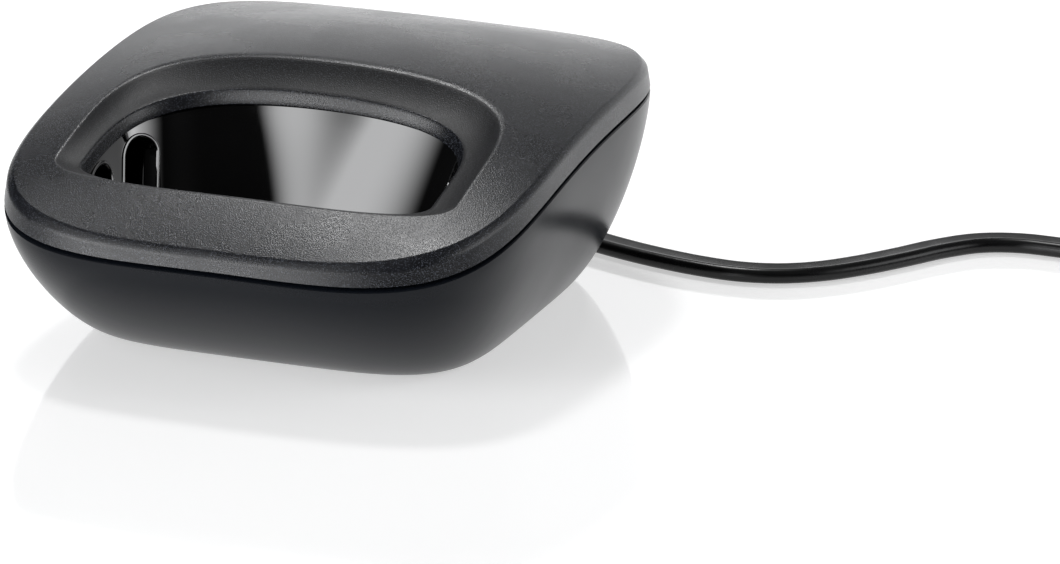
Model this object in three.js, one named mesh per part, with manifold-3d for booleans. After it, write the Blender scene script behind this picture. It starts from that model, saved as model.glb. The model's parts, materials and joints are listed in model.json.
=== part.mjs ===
// A handset charging cradle with its flat lead and plug-in power supply.
// Millimetres, +Z up. The front of the cradle faces -Y and the lead leaves at the back.
import * as THREE from "three";
import { mergeVertices } from "three/addons/utils/BufferGeometryUtils.js";
import Module from "manifold-3d";

const wasm = await Module();
wasm.setup();

// ---- Driving dimensions: the two shells --------------------------------------------------
const BODY_WIDTH = 80; // across the seam, along X
const BODY_DEPTH = 90; // across the seam, along Y
const BODY_SQUARE_X = 3.45; // superellipse exponents of the plan outline
const BODY_SQUARE_Y = 4.65;
const BASE_WIDTH = 58.4; // the flat underside
const BASE_DEPTH = 58.4;
const BASE_SQUARE = 4.8;
const BASE_SHIFT = 2.3; // the underside sits this far behind the middle
const WALL_BULGE = 1.49; // 1 is a straight flare, 2 an elliptic bowl
const SEAM_HEIGHT = 29.3; // at the middle of the body
const SEAM_RISE = 9.8; // from front to back
const SEAM_END_DROP = 5.4; // the seam line arches down to the front and back
const SEAM_SIDE_DROP = 1.6;
const SEAM_GAP = 0.56; // the dark line between the shells
const BAND_HEIGHT = 2.5; // the upright rim above the seam
const BAND_SIDE_EXTRA = 1.2;
const BAND_DRAFT = 0.45;
const CROWN = 5.2; // how far the top swells above its rim
const TOP_WALL = 1.6;
const SIDE_WALL = 2.0;
const FLOOR_WALL = 2.0;
const RIM_WALL = 1.1;
const TONGUE_WALL = 1.0;
const TONGUE_HEIGHT = 0.55;
const FOOT_PROUD = 0.5; // the underside's height above the table
const CLEAR = 0.3; // gap between pieces that fit into each other

// ---- Driving dimensions: the handset pocket ------------------------------------------------
const POCKET_WIDTH = 54.2;
const POCKET_FROM_FRONT = 18; // from the body's front edge to the pocket's widest line
const POCKET_CENTRE_Y = POCKET_FROM_FRONT - BODY_DEPTH / 2;
const POCKET_REAR = 22.8;
const POCKET_FRONT = 6.0;
const POCKET_SQUARE_REAR = 3.7;
const POCKET_SQUARE_FRONT = 2.6;
const DISH_MARGIN_SIDE = 4.0;
const DISH_MARGIN_REAR = 5.6;
const DISH_MARGIN_FRONT = 1.3;
const DISH_SQUARE_REAR = 4.4;
const DISH_DEPTH_REAR = 2.8;
const DISH_DEPTH_FRONT = 0.9;
const LIP_HEIGHT = 2.0;
const LIP_SLOPE = 0.6; // the lip's foot stands this far into the opening
const WELL_WALL = 1.6;
const WELL_FLANGE = 2.2;
const WELL_FLOOR_Z = 12.0;
const WELL_FLARE = 3.2; // each end wall leans out by this much
const WELL_LEAN = 8.0; // the rear wall leans back by this much
const WELL_FOOT_FRONT = 6.0;
const WELL_FOOT_SQUARE = 2.7; // the foot is rounder than the mouth
const WELL_LIP_LAP = 0.35; // the lip hides the well's upper edge by this much
const WELL_FLOOR_ROUND = 1.2;
const WELL_FLANGE_THICK = 1.3;
const ARCHES = [
  { width: 5.0, centreY: -12.1 }, // the pair of arched windows in each end wall
  { width: 7.2, centreY: -21.4 },
];
const ARCH_BELOW_MOUTH = 1.3;
const ARCH_SILL = 2.5; // above the well's floor

// ---- Driving dimensions: electrics ---------------------------------------------------------
const BOARD_WIDTH = 40;
const BOARD_THICK = 1.6;
const BOARD_REAR_GAP = 5; // in front of the underside's rear edge
const BOARD_REAR_Y = BASE_SHIFT + BASE_DEPTH / 2 - BOARD_REAR_GAP;
const BOARD_OVER_BLOCK = 3.6; // the board's front edge lies this far behind the springs' root
const BOARD_UNDERSIDE_Z = 10.2;
const RECESS_CENTRE_X = -5;
const RECESS_WIDTH = 14;
const RECESS_ROOF_Z = 7.8;
const RECESS_WALL = 1.5;
const SOCKET_SIZE = [13, 11.6, 7.1];
const PLUG_SECTION = [9.2, 4.0];
const PLUG_NOSE_LENGTH = 7.8;
const PLUG_GRIP_LENGTH = 12.7;
const PLUG_UNDERSIDE_Z = 3.4;
const LATCH_SIZE = [5.0, 9.6, 0.7];
const LATCH_SLOPE = 0.1;
const SPRING_STRIP = [3.0, 0.45];
const SPRING_OFFSET_X = 8;
const SPRING_BEHIND_POCKET = 14.4; // the springs' root, from the pocket's widest line
const SPRING_ARM_Z = 6.9;
const SPRING_ROOT_Y = POCKET_CENTRE_Y + SPRING_BEHIND_POCKET;
const SPRING_SLOT = [6.6, 16.4]; // the well's slot, in front of the root
const BLOCK_DEPTH = 8;
const SOCKET_BEHIND_BLOCK = 4.9;
const SOCKET_FRONT_Y = SPRING_ROOT_Y + CLEAR + BLOCK_DEPTH + SOCKET_BEHIND_BLOCK;
const RECESS_FRONT_Y = SOCKET_FRONT_Y + SOCKET_SIZE[1] + CLEAR + RECESS_WALL;
const SPRING_NOSE_RISE = 6.5;
const FOOT_RADIUS = 4.2;
const FOOT_X = 22;
const FOOT_INSETS = [10.4, 10.5]; // from the underside's front and rear edges
const FOOT_YS = [BASE_SHIFT - BASE_DEPTH / 2 + FOOT_INSETS[0], BASE_SHIFT + BASE_DEPTH / 2 - FOOT_INSETS[1]];
const SCREW_REAR = [25, POCKET_CENTRE_Y + POCKET_REAR + 8.2]; // behind the dish
const SCREW_FRONT = [14, POCKET_CENTRE_Y + 5.5]; // under the well
const SCREW_HEAD = [2.5, 1.5];
const SCREW_SHANK = 1.1;
const SCREW_LENGTHS = { rear: 10, front: 8.4 };
const SCREW_POST_WALL = 1.6;
const BOARD_SCREW = [1.9, 0.9, 5.5]; // head radius, shank radius, length
const BOARD_POST = { x: 16.5, y: BOARD_REAR_Y - 5, radius: 2.5 };
const FUSE = { x: 9, y: BOARD_REAR_Y - 7.5, length: 9, radius: 2.2 };
const DIODE = { x: -9, y: BOARD_REAR_Y - 11, length: 5, radius: 1.3 };
const RESISTORS = { x: -10, ys: [BOARD_REAR_Y - 24.5, BOARD_REAR_Y - 18.5], length: 7, radius: 1.6 };
const CAPACITOR = { x: 9, y: BOARD_REAR_Y - 18.5, radius: 4, height: 11 };
const FOOT_SEAT = 0.8; // depth of a foot's pocket in the underside
const PLATE_SIZE = [25, 17, 0.3];
const PLATE_CENTRE_Y = -1.5;

// ---- Driving dimensions: lead and power supply ---------------------------------------------
const LEAD_WIDTH = 4.6;
const LEAD_THICK = 2.3;
const COIL_CENTRE = [138, 29.75];
const COIL_MEAN_RADIUS = 24.65;
const COIL_SECTION = [14.8, 9.4]; // six turns side by side, in two layers
const COIL_BASE_Z = 1.0;
const TIE_WALL = 0.7;
const TIE_WIDTH = 7;
const ADAPTER_SIZE = [34, 52, 25];
const ADAPTER_WALL = 1.8;
const ADAPTER_COVER = 6;
const ADAPTER_REAR_Y = -6;
const PIN_RADIUS = 2;
const PIN_LENGTH = 19;
const PIN_SPACING = 18.6;

// ---- Materials ------------------------------------------------------------------------------
const plastic = (color, roughness) => new THREE.MeshStandardMaterial({ color, roughness, metalness: 0 });
const metal = (color, roughness) => new THREE.MeshStandardMaterial({ color, roughness, metalness: 1 });
const GRAINED = plastic(0x45474c, 0.55);
const SATIN = plastic(0x2b2e34, 0.35);
const GLOSSY = plastic(0x0b0b0c, 0.08);
const BLACK = plastic(0x121213, 0.45);
const RUBBER = plastic(0x1b1b1b, 0.9);
const BOARD = plastic(0x1f5a34, 0.5);
const LABEL = plastic(0xc9c9c6, 0.6);
const GOLD = metal(0xd8b060, 0.3);
const STEEL = metal(0x9a9da1, 0.35);
const CERAMIC = plastic(0xc8ab7c, 0.6);

// ---- Small helpers --------------------------------------------------------------------------
const part = new THREE.Group();

function add(name, geometry, material) {
  const mesh = new THREE.Mesh(geometry, material.clone());
  mesh.name = name;
  part.add(mesh);
}

function toSolid(geometry) {
  const bare = geometry.clone();
  bare.deleteAttribute("normal");
  bare.deleteAttribute("uv");
  const merged = mergeVertices(bare, 1e-4);
  const vertProperties = merged.attributes.position.array;
  const triVerts = new Uint32Array(merged.index.array);
  return new wasm.Manifold(new wasm.Mesh({ numProp: 3, vertProperties, triVerts }));
}

function toGeometry(solid) {
  const mesh = solid.getMesh();
  const geometry = new THREE.BufferGeometry();
  geometry.setAttribute("position", new THREE.BufferAttribute(new Float32Array(mesh.vertProperties), 3));
  geometry.setIndex(new THREE.BufferAttribute(new Uint32Array(mesh.triVerts), 1));
  geometry.computeVertexNormals();
  return geometry;
}

// A box from its low corner to its high corner.
function box(low, high) {
  const size = high.map((value, axis) => value - low[axis]);
  const geometry = new THREE.BoxGeometry(...size);
  geometry.translate(...low.map((value, axis) => value + size[axis] / 2));
  return geometry;
}

// A round bar between two heights, standing on X, Y.
function post(x, y, lowZ, highZ, radius, sides = 20) {
  const geometry = new THREE.CylinderGeometry(radius, radius, highZ - lowZ, sides);
  geometry.rotateX(Math.PI / 2);
  geometry.translate(x, y, (lowZ + highZ) / 2);
  return geometry;
}

const signedPower = (value, power) => Math.sign(value) * Math.abs(value) ** power;

// One closed plan curve. Its front and rear halves may differ.
function planPoint(shape, turn) {
  const [c, s] = [Math.cos(turn), Math.sin(turn)];
  const rearHalf = s >= 0;
  const squareX = rearHalf ? shape.rearSquareX : shape.frontSquareX;
  const squareY = rearHalf ? shape.rearSquareY : shape.frontSquareY;
  return [
    shape.half * signedPower(c, 2 / squareX),
    shape.centreY + (rearHalf ? shape.rear : shape.front) * signedPower(s, 2 / squareY),
  ];
}

const evenPlan = (half, depth, centreY, squareX, squareY) => ({
  half,
  rear: depth,
  front: depth,
  centreY,
  rearSquareX: squareX,
  frontSquareX: squareX,
  rearSquareY: squareY,
  frontSquareY: squareY,
});

const inset = (shape, amount) => ({
  ...shape,
  half: shape.half - amount,
  rear: shape.rear - amount,
  front: shape.front - amount,
});

const RING_POINTS = 64;

// A ring of points: the plan curve, or a blend of two, at the height that heightOf gives.
function ring(shapeA, shapeB, blend, heightOf) {
  const points = [];
  for (let i = 0; i < RING_POINTS; i++) {
    const turn = (i / RING_POINTS) * 2 * Math.PI;
    const [ax, ay] = planPoint(shapeA, turn);
    const [bx, by] = planPoint(shapeB, turn);
    const x = ax + (bx - ax) * blend;
    const y = ay + (by - ay) * blend;
    points.push([x, y, heightOf(x, y)]);
  }
  return points;
}

// Skins a row of rings. The row either closes on itself or is capped at both ends.
function loft(rings, closesOnItself) {
  const positions = [];
  const count = rings[0].length;
  const quad = (a, b, c, d) => positions.push(...a, ...b, ...c, ...a, ...c, ...d);
  const spans = closesOnItself ? rings.length : rings.length - 1;
  for (let r = 0; r < spans; r++) {
    const lower = rings[r];
    const upper = rings[(r + 1) % rings.length];
    for (let i = 0; i < count; i++) {
      const j = (i + 1) % count;
      quad(lower[i], lower[j], upper[j], upper[i]);
    }
  }
  if (!closesOnItself) {
    const cap = (points, reversed) => {
      const centre = [0, 1, 2].map((axis) => points.reduce((sum, p) => sum + p[axis], 0) / count);
      for (let i = 0; i < count; i++) {
        const edge = [points[i], points[(i + 1) % count]];
        if (reversed) edge.reverse();
        positions.push(...centre, ...edge[0], ...edge[1]);
      }
    };
    cap(rings[0], true);
    cap(rings[rings.length - 1], false);
  }
  const geometry = new THREE.BufferGeometry();
  geometry.setAttribute("position", new THREE.Float32BufferAttribute(positions, 3));
  return toSolid(geometry);
}

// ---- Surfaces of the body ---------------------------------------------------------------------
const HALF_WIDTH = BODY_WIDTH / 2;
const HALF_DEPTH = BODY_DEPTH / 2;
const bodyPlan = evenPlan(HALF_WIDTH, HALF_DEPTH, 0, BODY_SQUARE_X, BODY_SQUARE_Y);
const basePlan = evenPlan(BASE_WIDTH / 2, BASE_DEPTH / 2, BASE_SHIFT, BASE_SQUARE, BASE_SQUARE);

const pocketPlan = {
  half: POCKET_WIDTH / 2,
  rear: POCKET_REAR,
  front: POCKET_FRONT,
  centreY: POCKET_CENTRE_Y,
  rearSquareX: POCKET_SQUARE_REAR,
  rearSquareY: POCKET_SQUARE_REAR,
  frontSquareX: POCKET_SQUARE_FRONT,
  frontSquareY: POCKET_SQUARE_FRONT,
};
const lipFoot = { ...pocketPlan, half: pocketPlan.half - LIP_SLOPE, rear: POCKET_REAR - LIP_SLOPE };
const dishPlan = {
  ...pocketPlan,
  half: pocketPlan.half + DISH_MARGIN_SIDE,
  rear: pocketPlan.rear + DISH_MARGIN_REAR,
  front: pocketPlan.front + DISH_MARGIN_FRONT,
  rearSquareX: DISH_SQUARE_REAR,
  rearSquareY: DISH_SQUARE_REAR,
};

function seamZ(x, y) {
  const [u, v] = [x / HALF_WIDTH, y / HALF_DEPTH];
  return SEAM_HEIGHT + (SEAM_RISE / 2) * v - SEAM_END_DROP * v * v - SEAM_SIDE_DROP * u * u;
}

function rimZ(x, y) {
  const u = x / HALF_WIDTH;
  return seamZ(x, y) + BAND_HEIGHT + BAND_SIDE_EXTRA * u * u;
}

function topZ(x, y) {
  const [u, v] = [x / HALF_WIDTH, y / HALF_DEPTH];
  return rimZ(x, y) + CROWN * Math.max(0, 1 - u * u) * Math.max(0, 1 - v * v);
}

function dishDrop(y) {
  const front = POCKET_CENTRE_Y - POCKET_FRONT;
  const share = THREE.MathUtils.clamp((y - front) / (POCKET_REAR + POCKET_FRONT), 0, 1);
  return DISH_DEPTH_FRONT + (DISH_DEPTH_REAR - DISH_DEPTH_FRONT) * share;
}

const lipZ = (x, y) => topZ(x, y) - dishDrop(y);

// ---- Top shell ----------------------------------------------------------------------------------
function makeTopShell() {
  const edge = inset(bodyPlan, BAND_DRAFT);
  const inside = inset(bodyPlan, RIM_WALL);
  const rings = [];
  const skirtZ = (x, y) => seamZ(x, y) + SEAM_GAP / 2;
  rings.push(ring(bodyPlan, bodyPlan, 0, skirtZ));
  rings.push(ring(bodyPlan, edge, 0.55, (x, y) => rimZ(x, y) - 0.8));
  for (const share of [0, 0.04, 0.15, 0.35, 0.6, 0.82, 1]) rings.push(ring(edge, dishPlan, share, topZ));
  for (const share of [0.5, 1]) {
    rings.push(ring(dishPlan, pocketPlan, share, (x, y) => topZ(x, y) - share * dishDrop(y)));
  }
  rings.push(ring(lipFoot, lipFoot, 0, (x, y) => lipZ(x, y) - LIP_HEIGHT));
  const underside = (x, y) => topZ(x, y) - dishDrop(y) - TOP_WALL;
  rings.push(ring(dishPlan, dishPlan, 0, underside));
  for (const share of [0.75, 0.4, 0.12]) {
    rings.push(ring(inside, dishPlan, share, (x, y) => topZ(x, y) - TOP_WALL - share * (dishDrop(y) - 0.2)));
  }
  rings.push(ring(inside, inside, 0, (x, y) => rimZ(x, y) - TOP_WALL));
  rings.push(ring(inside, inside, 0, skirtZ));
  let shell = loft(rings, true);
  for (const side of [-1, 1]) {
    const [x, y] = [side * SCREW_REAR[0], SCREW_REAR[1]];
    const lowZ = FOOT_PROUD + FLOOR_WALL + CLEAR;
    const roof = topZ(x, y) - TOP_WALL / 2;
    shell = shell.add(toSolid(post(x, y, lowZ, roof, SCREW_SHANK + SCREW_POST_WALL)));
    const hole = post(x, y, lowZ - 1, lowZ + 12, SCREW_SHANK + CLEAR);
    shell = shell.subtract(toSolid(hole));
  }
  return toGeometry(shell);
}

// ---- Bottom shell -------------------------------------------------------------------------------
// The wall flares from the underside to the seam on a superelliptic profile.
function wallRing(lowPlan, highPlan, lowZ, highZ, angle) {
  const reach = Math.sin(angle) ** (2 / WALL_BULGE);
  const climb = 1 - Math.cos(angle) ** (2 / WALL_BULGE);
  return ring(lowPlan, highPlan, reach, (x, y) => lowZ + (highZ(x, y) - lowZ) * climb);
}

const WALL_STEPS = 8;

function wallRings(lowPlan, highPlan, lowZ, highZ) {
  const rings = [];
  for (let step = 0; step <= WALL_STEPS; step++) {
    const angle = (step / WALL_STEPS) * (Math.PI / 2);
    rings.push(wallRing(lowPlan, highPlan, lowZ, highZ, angle));
  }
  return rings;
}

const SHELL_FLOOR_Z = FOOT_PROUD + FLOOR_WALL;
const outerTop = (x, y) => seamZ(x, y) - SEAM_GAP / 2;

const recessBox = (grow, lowZ, rearY) =>
  box(
    [RECESS_CENTRE_X - RECESS_WIDTH / 2 - grow, RECESS_FRONT_Y - grow, lowZ],
    [RECESS_CENTRE_X + RECESS_WIDTH / 2 + grow, rearY, RECESS_ROOF_Z + grow],
  );

const plateBox = (grow, lowZ, highZ) =>
  box(
    [-PLATE_SIZE[0] / 2 - grow, PLATE_CENTRE_Y - PLATE_SIZE[1] / 2 - grow, lowZ],
    [PLATE_SIZE[0] / 2 + grow, PLATE_CENTRE_Y + PLATE_SIZE[1] / 2 + grow, highZ],
  );

const screwSpots = [-1, 1].flatMap((side) => [
  { side, place: "rear", x: side * SCREW_REAR[0], y: SCREW_REAR[1] },
  { side, place: "front", x: side * SCREW_FRONT[0], y: SCREW_FRONT[1] },
]);
const footSpots = [-1, 1].flatMap((side) =>
  FOOT_YS.map((y) => ({ side, place: y > 0 ? "rear" : "front", x: side * FOOT_X, y })),
);
const sideName = (side) => (side < 0 ? "left" : "right");
const boardPosts = [-1, 1].map((side) => ({ side, x: side * BOARD_POST.x, y: BOARD_POST.y }));
const boardHole = BOARD_SCREW[1] + CLEAR + 0.1;
const SCREW_POCKET_Z = FOOT_PROUD + SCREW_HEAD[1] + 0.4;

function makeBottomShell() {
  const outerRings = wallRings(basePlan, bodyPlan, FOOT_PROUD, outerTop);
  const outer = loft(outerRings, false);
  const tongueOutside = inset(bodyPlan, RIM_WALL + CLEAR);
  const tongueInside = inset(bodyPlan, RIM_WALL + CLEAR + TONGUE_WALL);
  const tongueTop = (x, y) => seamZ(x, y) + TONGUE_HEIGHT;
  const baseInside = inset(basePlan, SIDE_WALL);
  const innerRings = wallRings(baseInside, tongueInside, SHELL_FLOOR_Z, outerTop).reverse();
  const rings = [
    ...outerRings,
    ring(tongueOutside, tongueOutside, 0, outerTop),
    ring(tongueOutside, tongueOutside, 0, tongueTop),
    ring(tongueInside, tongueInside, 0, tongueTop),
    ...innerRings,
  ];
  let shell = loft(rings, false);
  const rearY = HALF_DEPTH;
  shell = shell.add(toSolid(recessBox(RECESS_WALL, FOOT_PROUD + 0.1, rearY)).intersect(outer));
  shell = shell.subtract(toSolid(recessBox(0, -1, rearY + 1)));
  for (const { x, y } of boardPosts) {
    const top = BOARD_UNDERSIDE_Z - 0.05;
    shell = shell.add(toSolid(post(x, y, SHELL_FLOOR_Z - 0.5, top, BOARD_POST.radius)));
    shell = shell.subtract(toSolid(post(x, y, top - 5, top + 1, boardHole, 16)));
  }
  for (const { x, y } of screwSpots) {
    shell = shell.subtract(toSolid(post(x, y, -1, SCREW_POCKET_Z, SCREW_HEAD[0] + CLEAR)));
    shell = shell.subtract(toSolid(post(x, y, -1, SHELL_FLOOR_Z + 1, SCREW_SHANK + CLEAR)));
  }
  for (const { x, y } of footSpots) {
    shell = shell.subtract(toSolid(post(x, y, -1, FOOT_PROUD + FOOT_SEAT, FOOT_RADIUS + CLEAR)));
  }
  const window = box(
    [RECESS_CENTRE_X - PLUG_SECTION[0] / 2 - CLEAR, RECESS_FRONT_Y - RECESS_WALL - 1, PLUG_UNDERSIDE_Z - CLEAR],
    [RECESS_CENTRE_X + PLUG_SECTION[0] / 2 + CLEAR, RECESS_FRONT_Y + 1, PLUG_UNDERSIDE_Z + PLUG_SECTION[1] + CLEAR],
  );
  shell = shell.subtract(toSolid(window));
  shell = shell.subtract(toSolid(plateBox(0.5, -1, FOOT_PROUD + 2 * PLATE_SIZE[2])));
  return toGeometry(shell);
}

// ---- Handset well --------------------------------------------------------------------------------
const wellMouth = inset(pocketPlan, -WELL_LIP_LAP);
const wellFoot = {
  ...pocketPlan,
  half: pocketPlan.half - WELL_FLARE,
  rear: POCKET_REAR - WELL_LEAN,
  front: WELL_FOOT_FRONT,
  rearSquareX: WELL_FOOT_SQUARE,
  rearSquareY: WELL_FOOT_SQUARE,
};
const wellTopZ = (x, y) => lipZ(x, y) - LIP_HEIGHT - CLEAR;
const springSlot = (side) =>
  box(
    [side * SPRING_OFFSET_X - SPRING_STRIP[0] / 2 - 0.5, SPRING_ROOT_Y - SPRING_SLOT[1], WELL_FLOOR_Z - 4],
    [side * SPRING_OFFSET_X + SPRING_STRIP[0] / 2 + 0.5, SPRING_ROOT_Y - SPRING_SLOT[0], WELL_FLOOR_Z + 2],
  );

// An arch-topped slab that cuts a window in an end wall and leans back with it.
function archCutter(side, { width, centreY }) {
  const half = width / 2;
  const top = wellTopZ(pocketPlan.half - 1, centreY) - ARCH_BELOW_MOUTH;
  const lean = WELL_LEAN / (top + ARCH_BELOW_MOUTH - WELL_FLOOR_Z);
  const shape = new THREE.Shape();
  shape.moveTo(-half, WELL_FLOOR_Z + ARCH_SILL);
  shape.lineTo(half, WELL_FLOOR_Z + ARCH_SILL);
  shape.lineTo(half, top - half);
  shape.absarc(0, top - half, half, 0, Math.PI, false);
  const depth = WELL_FLARE + 2 * WELL_WALL + WELL_FLARE;
  const geometry = new THREE.ExtrudeGeometry(shape, { depth, bevelEnabled: false, curveSegments: 10 });
  geometry.rotateX(Math.PI / 2);
  geometry.rotateZ(Math.PI / 2);
  const outermost = pocketPlan.half + 2 * WELL_WALL;
  geometry.translate(side > 0 ? outermost - depth : -outermost, centreY, 0);
  const tilt = new THREE.Matrix4().set(1, 0, 0, 0, 0, 1, lean, -lean * top, 0, 0, 1, 0, 0, 0, 0, 1);
  geometry.applyMatrix4(tilt);
  return toSolid(geometry);
}

function makeHandsetWell() {
  const steps = [0, 0.25, 0.5, 0.75, 0.9];
  const climb = (share) => (x, y) => wellTopZ(x, y) + (WELL_FLOOR_Z - wellTopZ(x, y)) * share;
  const rings = steps.map((share) => ring(wellMouth, wellFoot, share, climb(share)));
  rings.push(ring(wellMouth, inset(wellFoot, WELL_FLOOR_ROUND), 1, () => WELL_FLOOR_Z));
  const outerMouth = inset(wellMouth, -WELL_WALL);
  const outerFoot = inset(wellFoot, -WELL_WALL);
  const outsideLow = WELL_FLOOR_Z - WELL_WALL;
  const outerClimb = (share) => (x, y) => wellTopZ(x, y) + (outsideLow - wellTopZ(x, y)) * share;
  const outer = [1, 0.75, 0.5, 0.25, 0.12].map((share) =>
    ring(outerMouth, outerFoot, share, share === 1 ? () => outsideLow : outerClimb(share)),
  );
  const flange = inset(wellMouth, -WELL_WALL - WELL_FLANGE);
  const flangeTop = (x, y) => wellTopZ(x, y) + (topZ(x, y) - dishDrop(y) - TOP_WALL - CLEAR - wellTopZ(x, y)) * 0.4;
  const under = ring(flange, flange, 0, (x, y) => flangeTop(x, y) - WELL_FLANGE_THICK);
  const over = ring(flange, flange, 0, flangeTop);
  let well = loft([...outer, under, over, ...rings], false);
  for (const side of [-1, 1]) {
    well = well.subtract(toSolid(springSlot(side)));
    for (const arch of ARCHES) well = well.subtract(archCutter(side, arch));
    const [x, y] = [side * SCREW_FRONT[0], SCREW_FRONT[1]];
    well = well.add(toSolid(post(x, y, SHELL_FLOOR_Z + CLEAR, outsideLow + 0.6, SCREW_SHANK + SCREW_POST_WALL)));
    well = well.subtract(toSolid(post(x, y, 0, outsideLow + 0.4, SCREW_SHANK + CLEAR)));
  }
  return toGeometry(well);
}

add("top_shell", makeTopShell(), GRAINED);
add("bottom_shell", makeBottomShell(), SATIN);
add("handset_well", makeHandsetWell(), GLOSSY);

// ---- Fasteners and feet ----------------------------------------------------------------------------
// A screw seen from its head: a low dome, a shank and a cross recess left to the head's flat.
function screw(x, y, headLowZ, length, headRadius, shankRadius, headUp) {
  const profile = [
    [0, 0],
    [headRadius * 0.82, 0],
    [headRadius, headRadius * 0.2],
    [headRadius, SCREW_HEAD[1] - 0.3],
    [shankRadius, SCREW_HEAD[1]],
    [shankRadius, length - shankRadius],
    [0, length],
  ].map(([r, z]) => new THREE.Vector2(r, z));
  const geometry = new THREE.LatheGeometry(profile, 16);
  geometry.rotateX(headUp ? -Math.PI / 2 : Math.PI / 2);
  geometry.translate(x, y, headLowZ);
  return geometry;
}

for (const { side, place, x, y } of screwSpots) {
  const length = SCREW_LENGTHS[place];
  const name = `case_screw_${place}_${sideName(side)}`;
  add(name, screw(x, y, FOOT_PROUD + 0.3, length, SCREW_HEAD[0], SCREW_SHANK, false), STEEL);
}
for (const { side, place, x, y } of footSpots) {
  const foot = new THREE.LatheGeometry(
    [
      [0, 0],
      [FOOT_RADIUS - 0.4, 0],
      [FOOT_RADIUS, 0.4],
      [FOOT_RADIUS, FOOT_PROUD + FOOT_SEAT - CLEAR],
      [0, FOOT_PROUD + FOOT_SEAT - CLEAR],
    ].map(([r, z]) => new THREE.Vector2(r, z)),
    24,
  );
  foot.rotateX(Math.PI / 2);
  foot.translate(x, y, 0);
  add(`rubber_foot_${place}_${sideName(side)}`, foot, RUBBER);
}
add("rating_plate", plateBox(0, FOOT_PROUD, FOOT_PROUD + PLATE_SIZE[2]), LABEL);

// ---- Circuit board and what is on it -----------------------------------------------------------------
const boardFrontY = SPRING_ROOT_Y + BOARD_OVER_BLOCK;
const boardTopZ = BOARD_UNDERSIDE_Z + BOARD_THICK;

function makeBoard() {
  const half = BOARD_WIDTH / 2;
  const low = [-half, boardFrontY, BOARD_UNDERSIDE_Z];
  let board = toSolid(box(low, [half, BOARD_REAR_Y, boardTopZ]));
  for (const { x, y } of boardPosts) {
    board = board.subtract(toSolid(post(x, y, low[2] - 1, boardTopZ + 1, boardHole, 16)));
  }
  return toGeometry(board);
}
add("circuit_board", makeBoard(), BOARD);

for (const { side, x, y } of boardPosts) {
  const head = boardTopZ + SCREW_HEAD[1] + 0.05;
  const [headRadius, shankRadius, length] = BOARD_SCREW;
  add(`board_screw_${sideName(side)}`, screw(x, y, head, length, headRadius, shankRadius, true), STEEL);
}

// The block that holds the two charging springs under the board's front edge.
function makeContactBlock() {
  const half = SPRING_OFFSET_X + SPRING_STRIP[0] / 2 + 1.2;
  const low = [-half, SPRING_ROOT_Y + CLEAR, SPRING_ARM_Z - 2.2];
  const high = [half, SPRING_ROOT_Y + CLEAR + BLOCK_DEPTH, BOARD_UNDERSIDE_Z - 0.05];
  let block = toSolid(box(low, high));
  const notch = box([-half - 1, low[1] - 1, SPRING_ARM_Z + 1.4], [half + 1, boardFrontY + 0.6, high[2] + 1]);
  block = block.subtract(toSolid(notch));
  return toGeometry(block);
}
add("contact_block", makeContactBlock(), BLACK);

// A charging spring: a strip with a domed nose that stands up through the well's floor.
function makeChargingSpring(side) {
  const z = SPRING_ARM_Z;
  const top = z + SPRING_NOSE_RISE;
  const line = new THREE.CurvePath();
  const at = (y, height) => new THREE.Vector2(y, height);
  const root = SPRING_ROOT_Y - 0.02;
  line.add(new THREE.LineCurve(at(root, z), at(root - 7.4, z)));
  line.add(new THREE.QuadraticBezierCurve(at(root - 7.4, z), at(root - 8.6, z), at(root - 9.0, z + 2)));
  line.add(new THREE.LineCurve(at(root - 9.0, z + 2), at(root - 9.7, top - 1.6)));
  line.add(new THREE.QuadraticBezierCurve(at(root - 9.7, top - 1.6), at(root - 10.1, top), at(root - 11.2, top)));
  line.add(new THREE.QuadraticBezierCurve(at(root - 11.2, top), at(root - 12.4, top), at(root - 12.8, top - 1.6)));
  line.add(new THREE.LineCurve(at(root - 12.8, top - 1.6), at(root - 13.6, z + 1.2)));
  const middle = line.curves.flatMap((curve, i) => {
    const points = curve.getPoints(curve.isLineCurve ? 1 : 5);
    return i ? points.slice(1) : points;
  });
  const half = SPRING_STRIP[1] / 2;
  const offset = (sign) =>
    middle.map((point, i) => {
      const along = middle[Math.min(i + 1, middle.length - 1)].clone().sub(middle[Math.max(i - 1, 0)]);
      along.normalize();
      return point.clone().add(new THREE.Vector2(-along.y, along.x).multiplyScalar(sign * half));
    });
  const shape = new THREE.Shape([...offset(1), ...offset(-1).reverse()]);
  const geometry = new THREE.ExtrudeGeometry(shape, { depth: SPRING_STRIP[0], bevelEnabled: false });
  geometry.rotateX(Math.PI / 2);
  geometry.rotateZ(Math.PI / 2);
  geometry.translate(side * SPRING_OFFSET_X - SPRING_STRIP[0] / 2, 0, 0);
  return toGeometry(toSolid(geometry));
}
for (const side of [-1, 1]) add(`charging_spring_${sideName(side)}`, makeChargingSpring(side), GOLD);

// The socket hangs under the board; the plug's nose goes into it through the shell's window.
const plugX = [RECESS_CENTRE_X - PLUG_SECTION[0] / 2, RECESS_CENTRE_X + PLUG_SECTION[0] / 2];
const plugZ = [PLUG_UNDERSIDE_Z, PLUG_UNDERSIDE_Z + PLUG_SECTION[1]];
const socketRearY = RECESS_FRONT_Y - RECESS_WALL - CLEAR;

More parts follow.
